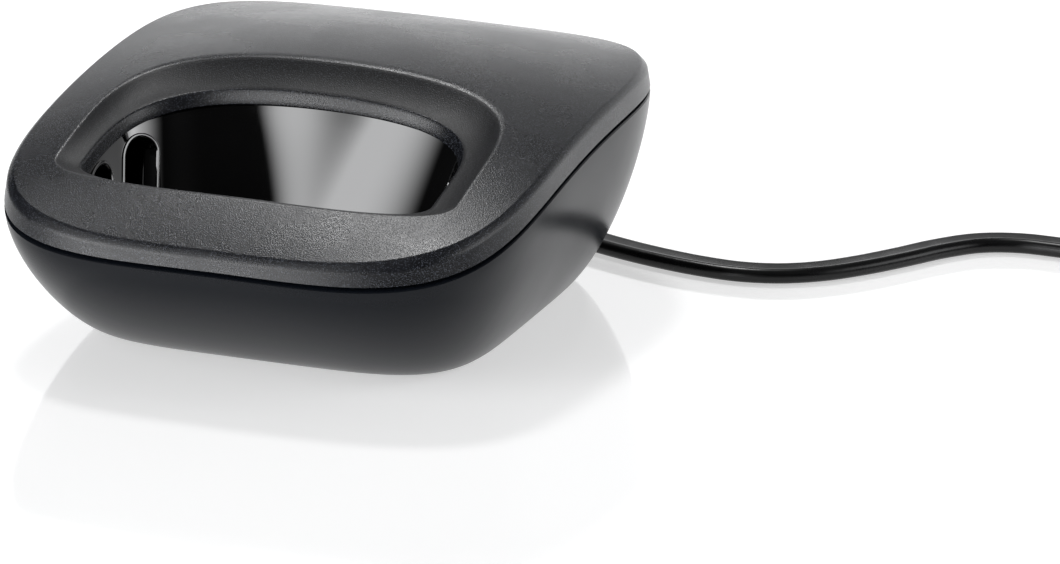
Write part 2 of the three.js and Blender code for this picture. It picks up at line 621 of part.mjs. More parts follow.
function makeSocket() {
  const half = SOCKET_SIZE[0] / 2;
  const topZ = BOARD_UNDERSIDE_Z - 0.05;
  const low = [RECESS_CENTRE_X - half, socketRearY - SOCKET_SIZE[1], topZ - SOCKET_SIZE[2]];
  const high = [RECESS_CENTRE_X + half, socketRearY, topZ];
  const cavity = box(
    [plugX[0] - CLEAR, socketRearY - SOCKET_SIZE[1] + 1.5, plugZ[0] - CLEAR],
    [plugX[1] + CLEAR, socketRearY + 1, plugZ[1] + CLEAR],
  );
  return toGeometry(toSolid(box(low, high)).subtract(toSolid(cavity)));
}
add("power_socket", makeSocket(), BLACK);

// A part that lies on the board along X, such as a resistor, a diode or a fuse.
function lyingBarrel(x, y, length, radius, neck) {
  const profile = [
    [0, 0],
    [radius, 0],
    [radius, length * 0.2],
    [radius * neck, length * 0.28],
    [radius * neck, length * 0.72],
    [radius, length * 0.8],
    [radius, length],
    [0, length],
  ].map(([r, along]) => new THREE.Vector2(r, along));
  const geometry = new THREE.LatheGeometry(profile, 16);
  geometry.rotateZ(-Math.PI / 2);
  geometry.translate(x - length / 2, y, boardTopZ + radius + 0.05);
  return geometry;
}
add("fuse", lyingBarrel(FUSE.x, FUSE.y, FUSE.length, FUSE.radius, 0.9), CERAMIC);
add("rectifier_diode", lyingBarrel(DIODE.x, DIODE.y, DIODE.length, DIODE.radius, 0.999), BLACK);
RESISTORS.ys.forEach((y, i) => {
  const barrel = lyingBarrel(RESISTORS.x, y, RESISTORS.length, RESISTORS.radius, 0.85);
  add(`charge_resistor_${i ? "right" : "left"}`, barrel, CERAMIC);
});

const capacitorProfile = [
  [0, 0],
  [CAPACITOR.radius, 0],
  [CAPACITOR.radius, 1.6],
  [CAPACITOR.radius - 0.35, 1.9],
  [CAPACITOR.radius, 2.2],
  [CAPACITOR.radius, CAPACITOR.height - 0.4],
  [CAPACITOR.radius - 0.4, CAPACITOR.height],
  [0, CAPACITOR.height],
].map(([r, z]) => new THREE.Vector2(r, z));
const capacitor = new THREE.LatheGeometry(capacitorProfile, 20);
capacitor.rotateX(Math.PI / 2);
capacitor.translate(CAPACITOR.x, CAPACITOR.y, boardTopZ + 0.05);
add("smoothing_capacitor", capacitor, SATIN);

// ---- Plug on the lead ----------------------------------------------------------------------------------
const noseFrontY = socketRearY - PLUG_NOSE_LENGTH;
const gripRearY = RECESS_FRONT_Y + PLUG_GRIP_LENGTH;
const plugMidZ = (plugZ[0] + plugZ[1]) / 2;

function makePlugHousing() {
  const nose = box([plugX[0], noseFrontY, plugZ[0]], [plugX[1], RECESS_FRONT_Y + 1, plugZ[1]]);
  const grip = box([plugX[0] - 0.7, RECESS_FRONT_Y + CLEAR, plugZ[0] + 0.2], [plugX[1] + 0.7, gripRearY, plugZ[1]]);
  let housing = toSolid(nose).add(toSolid(grip));
  for (let i = 0; i < 4; i++) {
    const y = gripRearY - 2.2 - i * 2;
    const groove = (x) => box([x - 0.35, y - 0.5, 0], [x + 0.35, y + 0.5, RECESS_ROOF_Z]);
    housing = housing.subtract(toSolid(groove(plugX[0] - 0.7))).subtract(toSolid(groove(plugX[1] + 0.7)));
  }
  return toGeometry(housing);
}
add("plug_housing", makePlugHousing(), BLACK);

for (const side of [-1, 1]) {
  const x = RECESS_CENTRE_X + side * 2;
  const blade = box([x - 0.5, noseFrontY - 1.4, plugMidZ - 1], [x + 0.5, noseFrontY - 0.05, plugMidZ + 1]);
  add(`plug_contact_${sideName(side)}`, blade, GOLD);
}

// The release latch hangs from the plug's front and slopes down to its free end.
const latchPivot = { y: RECESS_FRONT_Y + 1.2, z: PLUG_UNDERSIDE_Z - 0.55 };
function makeLatch() {
  const [width, length, thick] = LATCH_SIZE;
  const shape = new THREE.Shape();
  shape.moveTo(0, -thick / 2);
  shape.lineTo(length, -thick / 2 - LATCH_SLOPE * length);
  shape.lineTo(length, thick / 2 - LATCH_SLOPE * length);
  shape.lineTo(length - 1.2, thick / 2 - LATCH_SLOPE * (length - 1.2));
  shape.lineTo(0, thick / 2);
  const geometry = new THREE.ExtrudeGeometry(shape, { depth: width, bevelEnabled: false });
  geometry.rotateX(Math.PI / 2);
  geometry.rotateZ(Math.PI / 2);
  geometry.translate(RECESS_CENTRE_X - width / 2, latchPivot.y, latchPivot.z);
  return geometry;
}
add("plug_latch", makeLatch(), BLACK);

// ---- Flat lead -----------------------------------------------------------------------------------------
// The route on the table, chosen by hand: out of the plug, round behind the body and away.
const RELIEF_LENGTH = 8.6;
const reliefRearY = gripRearY + 0.05 + RELIEF_LENGTH;
const leadLowZ = LEAD_THICK / 2 + 0.1;
const coilOuter = COIL_MEAN_RADIUS + COIL_SECTION[0] / 2;
const coilLaneRadius = coilOuter - LEAD_THICK / 2;
const LEAD_ROUTE = [
  [-5, reliefRearY + CLEAR, plugMidZ],
  [-5, 39.5, 5.0],
  [-4.2, 43.6, 4.1],
  [-1.4, 47.2, 3.0],
  [3.2, 49.3, 2.0],
  [8.8, 48.6, 1.5],
  [14.4, 45.8, leadLowZ],
  [19.8, 42.3, leadLowZ],
  [25.2, 39.2, leadLowZ],
  [30.8, 37.0, leadLowZ],
  [38.0, 34.9, leadLowZ],
  [44.8, 33.6, leadLowZ],
  [51.3, 33.3, leadLowZ],
  [57.0, 34.7, leadLowZ],
  [62.1, 37.8, leadLowZ],
  [66.7, 42.5, leadLowZ],
  [71.0, 48.2, leadLowZ],
  [75.1, 54.2, leadLowZ],
  [79.7, 58.9, leadLowZ],
  [85.4, 61.1, leadLowZ],
  [91.7, 61.3, leadLowZ],
  [100, 60.9, leadLowZ],
  [110, 60.4, 1.8],
  [COIL_CENTRE[0] - 15.4, COIL_CENTRE[1] + coilLaneRadius - 0.4, 2.4],
];

// The lead's section has round edges. It lies flat on the table and stands on edge in the coil.
const LEAD_ARC_STEPS = 3;

function leadSection(liesFlat) {
  const half = LEAD_WIDTH / 2 - LEAD_THICK / 2;
  const turn = liesFlat ? Math.PI / 2 : 0;
  const points = [];
  for (const side of [1, -1]) {
    for (let i = 0; i <= LEAD_ARC_STEPS; i++) {
      const angle = (i / LEAD_ARC_STEPS) * Math.PI + (side < 0 ? Math.PI : 0);
      const x = (LEAD_THICK / 2) * Math.cos(angle);
      const y = side * half + (LEAD_THICK / 2) * Math.sin(angle);
      points.push(new THREE.Vector2(x, y).rotateAround(new THREE.Vector2(), turn));
    }
  }
  return new THREE.Shape(points);
}

function sweep(section, points, steps) {
  const path = new THREE.CatmullRomCurve3(points.map((p) => new THREE.Vector3(...p)), false, "centripetal");
  return new THREE.ExtrudeGeometry(section, { steps, extrudePath: path, bevelEnabled: false });
}
add("power_lead", sweep(leadSection(true), LEAD_ROUTE, 56), BLACK);

// A tapered sleeve along Y that guards a lead where it leaves a housing.
function makeRelief(x, rearY, length, z, [wideX, wideZ], [slimX, slimZ]) {
  const sides = 20;
  const rows = [];
  const levels = 7;
  for (let level = 0; level <= levels; level++) {
    const share = level / levels;
    const collar = level % 2 === 1 && level < levels ? 0.35 : 0;
    const [rx, rz] = [wideX + (slimX - wideX) * share - collar, wideZ + (slimZ - wideZ) * share - collar];
    const row = [];
    for (let i = 0; i < sides; i++) {
      const turn = (-i / sides) * 2 * Math.PI;
      row.push([
        x + rx * signedPower(Math.cos(turn), 0.7),
        rearY + length * share,
        z + rz * signedPower(Math.sin(turn), 0.7),
      ]);
    }
    rows.push(row);
  }
  return toGeometry(loft(rows, false));
}
const nearRelief = makeRelief(RECESS_CENTRE_X, gripRearY + 0.05, RELIEF_LENGTH, plugMidZ, [3.6, 1.9], [2.7, 1.55]);
add("plug_strain_relief", nearRelief, BLACK);

// ---- Wound lead and its tie -----------------------------------------------------------------------------
function makeCoil() {
  const [half, height] = [COIL_SECTION[0] / 2, COIL_SECTION[1]];
  const soft = 1.0;
  const profile = [
    [COIL_MEAN_RADIUS - half, COIL_BASE_Z + soft],
    [COIL_MEAN_RADIUS - half + soft, COIL_BASE_Z],
    [COIL_MEAN_RADIUS + half - soft, COIL_BASE_Z],
    [COIL_MEAN_RADIUS + half, COIL_BASE_Z + soft],
    [COIL_MEAN_RADIUS + half, COIL_BASE_Z + height - soft],
    [COIL_MEAN_RADIUS + half - soft, COIL_BASE_Z + height],
    [COIL_MEAN_RADIUS - half + soft, COIL_BASE_Z + height],
    [COIL_MEAN_RADIUS - half, COIL_BASE_Z + height - soft],
    [COIL_MEAN_RADIUS - half, COIL_BASE_Z + soft],
  ].map(([r, z]) => new THREE.Vector2(r, z));
  const geometry = new THREE.LatheGeometry(profile, 48);
  geometry.rotateX(Math.PI / 2);
  geometry.translate(COIL_CENTRE[0], COIL_CENTRE[1], 0);
  return geometry;
}
add("power_lead_coil", makeCoil(), BLACK);

// The tie is a flat loop round the turns, on the side of the coil that faces the cradle.
function makeTie() {
  const x = COIL_CENTRE[0] - COIL_MEAN_RADIUS;
  const half = COIL_SECTION[0] / 2 + 1.2;
  const y = [COIL_CENTRE[1] - TIE_WIDTH / 2, COIL_CENTRE[1] + TIE_WIDTH / 2];
  const low = COIL_BASE_Z - CLEAR;
  const high = COIL_BASE_Z + COIL_SECTION[1] + CLEAR;
  const outside = box([x - half - TIE_WALL, y[0], low - TIE_WALL], [x + half + TIE_WALL, y[1], high + TIE_WALL]);
  const inside = box([x - half, y[0] - 1, low], [x + half, y[1] + 1, high]);
  return toGeometry(toSolid(outside).subtract(toSolid(inside)));
}
add("lead_tie", makeTie(), RUBBER);

// ---- Plug-in power supply ----------------------------------------------------------------------------------
const adapterX = COIL_CENTRE[0] + coilLaneRadius;
const adapterLowZ = 0;
const adapterMidZ = adapterLowZ + ADAPTER_SIZE[2] / 2;
const adapterFrontY = ADAPTER_REAR_Y - ADAPTER_SIZE[1];
const seamY = adapterFrontY + ADAPTER_COVER;

// A block along Y with a rounded section.
function roundedBlock(width, height, radius, lowY, highY, bevel) {
  const [w, h] = [width / 2 - bevel, height / 2 - bevel];
  const r = radius - bevel;
  const shape = new THREE.Shape();
  shape.absarc(w - r, h - r, r, 0, Math.PI / 2, false);
  shape.absarc(-w + r, h - r, r, Math.PI / 2, Math.PI, false);
  shape.absarc(-w + r, -h + r, r, Math.PI, Math.PI * 1.5, false);
  shape.absarc(w - r, -h + r, r, Math.PI * 1.5, Math.PI * 2, false);
  const options = { depth: highY - lowY - 2 * bevel, curveSegments: 5 };
  if (bevel > 0) Object.assign(options, { bevelSize: bevel, bevelThickness: bevel, bevelSegments: 2 });
  else options.bevelEnabled = false;
  const geometry = new THREE.ExtrudeGeometry(shape, options);
  geometry.rotateX(Math.PI / 2);
  geometry.translate(adapterX, highY - bevel, adapterMidZ);
  return toSolid(geometry);
}

const [adapterWidth, , adapterHeight] = ADAPTER_SIZE;
const hollow = (lowY, highY) =>
  roundedBlock(adapterWidth - 2 * ADAPTER_WALL, adapterHeight - 2 * ADAPTER_WALL, 3, lowY, highY, 0);
const halfSpace = (lowY, highY) => toSolid(box([adapterX - 60, lowY, -60], [adapterX + 60, highY, 60]));
const adapterBody = roundedBlock(adapterWidth, adapterHeight, 5, adapterFrontY, ADAPTER_REAR_Y, 1.2);
const adapterCase = adapterBody
  .intersect(halfSpace(seamY + CLEAR / 2, ADAPTER_REAR_Y + 1))
  .subtract(hollow(seamY - 1, ADAPTER_REAR_Y - ADAPTER_WALL));
add("adapter_case", toGeometry(adapterCase), BLACK);
let adapterCover = adapterBody
  .intersect(halfSpace(adapterFrontY - 1, seamY - CLEAR / 2))
  .subtract(hollow(adapterFrontY + ADAPTER_WALL, seamY + 1));
for (const side of [-1, 1]) {
  const pin = new THREE.CylinderGeometry(PIN_RADIUS, PIN_RADIUS, PIN_LENGTH + 8, 20);
  const x = adapterX + (side * PIN_SPACING) / 2;
  pin.translate(x, adapterFrontY - PIN_LENGTH / 2 + 4, adapterMidZ);
  const hole = new THREE.CylinderGeometry(PIN_RADIUS + CLEAR, PIN_RADIUS + CLEAR, 12, 20);
  hole.translate(x, adapterFrontY, adapterMidZ);
  adapterCover = adapterCover.subtract(toSolid(hole));
  add(`adapter_pin_${sideName(side)}`, pin, STEEL);
}
add("adapter_cover", toGeometry(adapterCover), BLACK);

const insideLow = [adapterX - adapterWidth / 2 + ADAPTER_WALL, seamY + 4, adapterLowZ + ADAPTER_WALL];
const insideHigh = [adapterX + adapterWidth / 2 - ADAPTER_WALL, ADAPTER_REAR_Y - ADAPTER_WALL, adapterHeight];
const supplyBoardZ = insideLow[2] + 2.6;
const supplyBoard = box(
  [insideLow[0] + 1.6, insideLow[1], supplyBoardZ],
  [insideHigh[0] - 1.6, insideHigh[1] - 1.5, supplyBoardZ + 1.6],
);
add("adapter_board", supplyBoard, BOARD);
const supplyTopZ = supplyBoardZ + 1.65;
const transformerY = insideLow[1] + 14;
add(
  "adapter_transformer",
  box([adapterX - 8.5, transformerY - 8, supplyTopZ], [adapterX + 8.5, transformerY + 8, supplyTopZ + 13.5]),
  STEEL,
);
const supplyCapacitor = post(adapterX + 5, insideHigh[1] - 10, supplyTopZ, supplyTopZ + 12, 4.5);
add("adapter_capacitor", supplyCapacitor, SATIN);

const farReliefLength = 9;
const farRelief = makeRelief(
  adapterX,
  ADAPTER_REAR_Y + 0.05,
  farReliefLength,
  adapterMidZ - 3.5,
  [3.4, 4.2],
  [1.9, 3.0],
);
add("adapter_strain_relief", farRelief, BLACK);
const ratingTop = adapterHeight + 0.05;
add(
  "adapter_rating_plate",
  box([adapterX - 11, seamY + 8, ratingTop], [adapterX + 11, ADAPTER_REAR_Y - 8, ratingTop + 0.3]),
  LABEL,
);

// The last stretch climbs off the coil's upper lane and runs straight into the power supply.
const coilTopLaneZ = COIL_BASE_Z + COIL_SECTION[1] - LEAD_WIDTH / 2;
const tailStart = [adapterX - 0.2, COIL_CENTRE[1] - 15.4, coilTopLaneZ];
const tailEnd = [adapterX, ADAPTER_REAR_Y + farReliefLength + CLEAR + 0.05, adapterMidZ - 3.5];
const tailMiddle = tailStart.map((value, axis) => (value + tailEnd[axis]) / 2);
add("power_lead_tail", sweep(leadSection(false), [tailStart, tailMiddle, tailEnd], 4), BLACK);

export default part;
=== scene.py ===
# %% [markdown]
# # A charging cradle for a cordless handset, with its flat lead and plug-in supply
# This lesson dresses a finished engineering model. The model fixes every size and joint, so
# each piece made here goes exactly where the model says. Lengths are written in millimetres,
# because that is how a toolmaker thinks, and turned into Blender's metres in one place.

# %% Load the model
import json
import math

import bmesh
import bpy
import numpy as np
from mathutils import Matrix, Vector

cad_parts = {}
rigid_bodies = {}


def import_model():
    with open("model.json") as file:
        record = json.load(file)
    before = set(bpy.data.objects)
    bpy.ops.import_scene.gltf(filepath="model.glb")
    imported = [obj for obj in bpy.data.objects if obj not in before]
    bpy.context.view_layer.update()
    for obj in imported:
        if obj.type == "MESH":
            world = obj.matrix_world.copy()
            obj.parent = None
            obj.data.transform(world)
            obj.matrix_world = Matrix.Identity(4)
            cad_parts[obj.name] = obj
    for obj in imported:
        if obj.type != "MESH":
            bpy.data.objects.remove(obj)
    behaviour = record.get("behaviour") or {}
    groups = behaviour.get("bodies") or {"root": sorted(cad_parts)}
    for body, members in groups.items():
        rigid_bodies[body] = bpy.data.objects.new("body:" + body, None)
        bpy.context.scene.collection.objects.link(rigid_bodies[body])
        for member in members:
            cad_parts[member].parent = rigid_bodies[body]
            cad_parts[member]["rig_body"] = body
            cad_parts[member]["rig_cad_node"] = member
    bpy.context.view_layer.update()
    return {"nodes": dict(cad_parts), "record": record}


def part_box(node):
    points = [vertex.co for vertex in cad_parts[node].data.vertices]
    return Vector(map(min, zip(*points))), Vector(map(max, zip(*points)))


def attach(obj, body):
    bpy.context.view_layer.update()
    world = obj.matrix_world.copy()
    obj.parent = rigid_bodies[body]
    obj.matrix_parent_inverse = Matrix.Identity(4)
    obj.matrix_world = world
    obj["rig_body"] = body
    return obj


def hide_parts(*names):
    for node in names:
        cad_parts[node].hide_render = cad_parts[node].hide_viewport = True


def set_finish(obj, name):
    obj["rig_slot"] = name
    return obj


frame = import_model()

MM = 0.001
nodes = frame["nodes"]

# %% [markdown]
# ## The camera
# A product like this is shot with a long lens from a good metre away, so its outlines stay
# nearly parallel. The camera stands to the right of the front and looks down a little.

# %% Camera
camera_data = bpy.data.cameras.new("camera")
camera_data.sensor_width = 36
camera_data.lens = 284.8
camera_data.clip_start, camera_data.clip_end = 0.05, 50
camera = bpy.data.objects.new("camera", camera_data)
bpy.context.scene.collection.objects.link(camera)
camera.location = (0.45433, -1.06802, 0.39725)
aim = Vector((0.03585, -0.01204, 0.012))
camera.rotation_mode = "QUATERNION"
camera.rotation_quaternion = (aim - camera.location).to_track_quat("-Z", "Y")
bpy.context.scene.camera = camera
bpy.context.scene.view_settings.view_transform = "Standard"
print("the camera is", round((aim - camera.location).length, 3), "m from its aim point")

# %% [markdown]
# ## Turning points into meshes
# Nearly every piece here is a skin over a row of closed rings: a shell, a well, a screw, a
# lead. One helper makes such a skin, closes its ends with a fan of triangles or joins the
# last ring to the first, and turns all faces outwards. A second helper gives the mesh to an
# object, and a third keeps an edge crisp wherever two faces meet at a clear angle.

# %% Mesh helpers
def new_object(name, points, faces):
    mesh = bpy.data.meshes.new(name)
    mesh.from_pydata([tuple(float(v) * MM for v in p) for p in points], [], faces)
    made = bpy.data.objects.new(name, mesh)
    bpy.context.scene.collection.objects.link(made)
    return made


def face_outwards(piece):
    work = bmesh.new()
    work.from_mesh(piece.data)
    bmesh.ops.recalc_face_normals(work, faces=work.faces)
    work.to_mesh(piece.data)
    work.free()


def smooth(piece, crisp_above=38):
    piece.data.polygons.foreach_set("use_smooth", [True] * len(piece.data.polygons))
    piece.data.set_sharp_from_angle(angle=math.radians(crisp_above))


def skin_faces(rows, count, closed, first=0):
    faces = []
    for row in range(rows if closed else rows - 1):
        low, high = first + row * count, first + (row + 1) % rows * count
        for i in range(count):
            j = (i + 1) % count
            faces.append((low + i, low + j, high + j, high + i))
    return faces


def skin(name, rings, closed=False):
    rings = [np.asarray(r, float) for r in rings]
    count = len(rings[0])
    points = list(np.concatenate(rings))
    faces = skin_faces(len(rings), count, closed)
    if not closed:
        for start, ring in ((0, rings[0]), ((len(rings) - 1) * count, rings[-1])):
            points.append(ring.mean(0))
            hub = len(points) - 1
            faces += [(hub, start + i, start + (i + 1) % count) for i in range(count)]
    made = new_object(name, points, faces)
    face_outwards(made)
    smooth(made)
    return made

# %% [markdown]
# ## The flat lead
# The lead is two insulated wires side by side in one jacket, 4.6 mm wide and 2.3 mm thick,
# with a groove where they meet. It leaves its plug under the cradle, lies flat on the table,
# and what isn't needed is wound on edge into a neat coil. A curve with a bevel profile could
# do this, but its twist is hard to steer. So the section is placed ring by ring along the
# route, and each ring is told which way is its width: level on the table, upright in the coil.

# %% The route of the lead
LEAD_WIDTH, LEAD_THICK = 4.6, 2.3
EXIT = (-5.0, 35.65, 5.4)
ROUTE = [
    EXIT, (-5, 39.5, 5.0), (-4.2, 43.6, 4.1), (-1.4, 47.2, 3.0), (3.2, 49.3, 2.0), (8.8, 48.6, 1.5),
    (14.4, 45.8, 1.25), (19.8, 42.3, 1.25), (25.2, 39.2, 1.25), (30.8, 37.0, 1.25), (38.0, 34.9, 1.25),
    (44.8, 33.6, 1.25), (51.3, 33.3, 1.25), (57.0, 34.7, 1.25), (62.1, 37.8, 1.25), (66.7, 42.5, 1.25),
    (71.0, 48.2, 1.25), (75.1, 54.2, 1.25), (79.7, 58.9, 1.25), (85.4, 61.1, 1.25), (91.7, 61.3, 1.25),
    (100, 60.9, 1.25), (110, 60.4, 1.8),
]
COIL_CENTRE = (138.0, 29.75)
OUTER_LANE = 30.9
LANE_PITCH = 2.45
LAYER_HEIGHTS = (3.3, 8.1)
STEP_FROM, STEP_TO = 240, 196
COIL_TURNS = 10
CROSSING_INSET = 1.5
APPROACH = [(120.5, 60.45, 2.3), (129.5, 60.6, 2.95)]
RING_SPACING = 1.5


def coil_points():
    """Six lanes inwards on the lower layer, then five outwards on the upper one, clockwise from
    the north. Every lane keeps its radius and steps to the next in one short stretch."""
    lanes = [(k, 0) for k in range(6)] + [(k, 1) for k in range(4, -1, -1)]
    points = []
    heading, lane = 90.0, 0
    step = 12.0
    while heading >= -360.0 * COIL_TURNS - 1e-6:
        angle = heading % 360
        radius = OUTER_LANE - LANE_PITCH * lanes[lane][0]
        height = LAYER_HEIGHTS[lanes[lane][1]]
        if STEP_TO <= angle <= STEP_FROM and lane + 1 < len(lanes):
            share = (STEP_FROM - angle) / (STEP_FROM - STEP_TO)
            share = share * share * (3 - 2 * share)
            next_lane, next_layer = lanes[lane + 1]
            radius += (OUTER_LANE - LANE_PITCH * next_lane - radius) * share
            rise = LAYER_HEIGHTS[next_layer] - height
            height += rise * share
            radius -= CROSSING_INSET * math.sin(math.pi * share) * (rise > 0)
        a = math.radians(heading)
        x, y = COIL_CENTRE
        points.append((x + radius * math.cos(a), y + radius * math.sin(a), height))
        heading -= step
        if angle >= STEP_TO > heading % 360 and lane + 1 < len(lanes):
            lane += 1
    return points


def smooth_route(points, spacing):
    """A centripetal Catmull-Rom curve through the points, cut into even steps."""
    p = np.asarray(points, float)
    p = np.vstack([2 * p[0] - p[1], p, 2 * p[-1] - p[-2]])
    fine = []
    for a, b, c, d in zip(p[:-3], p[1:-2], p[2:-1], p[3:]):
        knots = np.cumsum([0] + [math.sqrt(np.linalg.norm(v)) for v in (b - a, c - b, d - c)])
        t = np.linspace(knots[1], knots[2], 12, endpoint=False)[:, None]
        mix = lambda u, v, i, j: ((knots[j] - t) * u + (t - knots[i]) * v) / (knots[j] - knots[i])
        ab, bc, cd = mix(a, b, 0, 1), mix(b, c, 1, 2), mix(c, d, 2, 3)
        fine.append(mix(mix(ab, bc, 0, 2), mix(bc, cd, 1, 3), 1, 2))
    fine = np.vstack(fine + [p[-2][None]])
    run = np.concatenate([[0], np.cumsum(np.linalg.norm(np.diff(fine, axis=0), axis=1))])
    at = np.linspace(0, run[-1], int(run[-1] / spacing) + 1)
    return np.column_stack([np.interp(at, run, fine[:, k]) for k in range(3)]), at


adapter_low, adapter_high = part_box("adapter_case")
relief_low, relief_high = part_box("adapter_strain_relief")
lead_end = (
    (relief_low.x + relief_high.x) / 2 / MM,
    relief_high.y / MM + 0.3,
    (relief_low.z + relief_high.z) / 2 / MM,
)
wound = coil_points()
mid_tail = tuple((a + b) / 2 for a, b in zip(wound[-1], lead_end))
path, run = smooth_route(ROUTE + APPROACH + wound + [mid_tail, lead_end], RING_SPACING)
print("lead:", len(path), "rings,", round(run[-1]), "mm long")

# %% [markdown]
# The ring that travels along this route is the lead's cross-section. It starts level, and over
# about 30 mm before the coil it turns on edge, as a flat lead does when it is wound.

# %% Sweep the lead
def twin_section(width, thick, sides=30):
    """Two round wires side by side, joined by a thinner web."""
    radius, web = thick / 2, thick * 0.34
    centre = width / 2 - radius
    points = []
    for side in (1, -1):
        for step in range(sides // 2):
            a = math.pi * (step / (sides // 2 - 1) - 0.5) * 0.999 + (math.pi if side < 0 else 0)
            w, h = side * centre + radius * math.cos(a), radius * math.sin(a)
            points.append((w, h))
        points.append((0.0, web * side))
    return np.array(points)


def sweep(name, line, width_way, section):
    """Carries a flat section along a line. width_way says, at each point, which way is its width."""
    along = np.gradient(line, axis=0)
    along /= np.linalg.norm(along, axis=1)[:, None]
    wide = width_way - (width_way * along).sum(1)[:, None] * along
    wide /= np.linalg.norm(wide, axis=1)[:, None]
    high = np.cross(along, wide)
    rings = [p + section[:, :1] * w + section[:, 1:] * h for p, w, h in zip(line, wide, high)]
    return skin(name, rings)


TURN_FROM_X, TURN_LENGTH = 98, 31
tangent = np.gradient(path, axis=0)
level = np.cross((0, 0, 1.0), tangent)
level /= np.linalg.norm(level, axis=1)[:, None]
before_coil = run <= 400
turn_start = run[before_coil][np.argmin(np.abs(path[before_coil, 0] - TURN_FROM_X))]
share = np.clip((run - turn_start) / TURN_LENGTH, 0, 1)
on_edge = (math.pi / 2 * share * share * (3 - 2 * share))[:, None]
width_way = level * np.cos(on_edge) + np.array((0, 0, 1.0)) * np.sin(on_edge)
lead = sweep("flat_lead", path, width_way, twin_section(LEAD_WIDTH, LEAD_THICK))
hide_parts("power_lead", "power_lead_coil", "power_lead_tail")
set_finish(lead, "lead_jacket")
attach(lead, "cradle")
print("flat lead:", len(lead.data.vertices), "points")

# %% [markdown]
# ## The surfaces of the body
# Seen from above, the body is a square that bulges: a superellipse, the curve between an
# ellipse and a rectangle. Its seam line rises to the back and sags to the front, back and
# sides. The top swells above that line as a soft pillow. Three short formulas give the
# heights of the seam, the rim and the top over any point, and all pieces share them.

# %% Plan curves and heights
BODY_HALF_WIDTH, BODY_HALF_DEPTH = 40, 45
BASE_HALF, BASE_SHIFT = 29.2, 2.3


def even_plan(half, depth, centre_y, square_x, square_y):
    """A plan whose front and rear halves are alike."""
    return {"half": half, "rear": depth, "front": depth, "y": centre_y,
            "square_x": (square_x, square_x), "square_y": (square_y, square_y)}


body_plan = even_plan(BODY_HALF_WIDTH, BODY_HALF_DEPTH, 0, 3.45, 4.65)
base_plan = even_plan(BASE_HALF, BASE_HALF, BASE_SHIFT, 4.8, 4.8)
pocket_plan = {"half": 27.1, "rear": 22.8, "front": 6.0, "y": -27.0,
               "square_x": (3.7, 2.6), "square_y": (3.7, 2.6)}
dish_plan = {**pocket_plan, "half": 31.1, "rear": 28.4, "front": 7.3,
             "square_x": (4.4, 2.6), "square_y": (4.4, 2.6)}


def shrink(plan, amount):
    return {**plan, **{part: plan[part] - amount for part in ("half", "rear", "front")}}


def plan_curve(plan, turns):
    c, s = np.cos(turns), np.sin(turns)
    rear = s >= 0
    square_x = np.where(rear, *plan["square_x"])
    square_y = np.where(rear, *plan["square_y"])
    depth = np.where(rear, plan["rear"], plan["front"])
    x = plan["half"] * np.sign(c) * np.abs(c) ** (2 / square_x)
    return x, plan["y"] + depth * np.sign(s) * np.abs(s) ** (2 / square_y)


def even_turns(plan, count):
    """Turns that space the points evenly along the plan's outline."""
    fine = np.linspace(0, 2 * math.pi, 60001)
    x, y = plan_curve(plan, fine)
    length = np.concatenate([[0], np.cumsum(np.hypot(np.diff(x), np.diff(y)))])
    return np.interp(np.arange(count) / count * length[-1], length, fine)


TURNS = even_turns(body_plan, 224)


def seam_height(x, y):
    u, v = x / BODY_HALF_WIDTH, y / BODY_HALF_DEPTH
    return 29.3 + 4.9 * v - 5.4 * v * v - 1.6 * u * u


def rim_height(x, y):
    return seam_height(x, y) + 2.5 + 1.2 * (x / BODY_HALF_WIDTH) ** 2


def top_height(x, y):
    across = np.maximum(0, 1 - (x / BODY_HALF_WIDTH) ** 2)
    swell = across * np.maximum(0, 1 - (y / BODY_HALF_DEPTH) ** 2)
    return rim_height(x, y) + 5.2 * swell


def dish_depth(y):
    return 0.9 + 1.9 * np.clip((y + 33) / 28.8, 0, 1)


def ring(plan_a, plan_b, blend, height, turns=TURNS):
    ax, ay = plan_curve(plan_a, turns)
    bx, by = plan_curve(plan_b, turns)
    x, y = ax + (bx - ax) * blend, ay + (by - ay) * blend
    return np.column_stack([x, y, height(x, y) if callable(height) else np.full(len(x), height)])


print("the top is highest at", round(float(top_height(np.array(0.0), np.array(12.0))), 2), "mm")

# %% [markdown]
# ## The top shell
# This is the piece the eye goes to: a thin cover, moulded with a spark-eroded grain. Its
# profile runs up an upright rim, over a soft edge, across the pillow, down into a shallow
# dish and over a small lip into the pocket. Each change of direction gets its own small
# radius, because no moulded edge is truly sharp and it is the radius that catches the light.

# %% Top shell
SEAM_GAP = 0.56
RIM_RADIUS = 0.9
RIM_INSET = 0.3
TOP_WALL = 1.6
SKIRT_EDGE = 0.15
DISH_EDGE = 0.045
LIP_HEIGHT = 2.0


def rounded(radius, steps=4):
    """Quarter-round steps: how far in and how far up, from the side of the edge to its top."""
    for step in range(steps + 1):
        a = math.pi / 2 * step / steps
        yield radius * (1 - math.cos(a)), radius * math.sin(a)


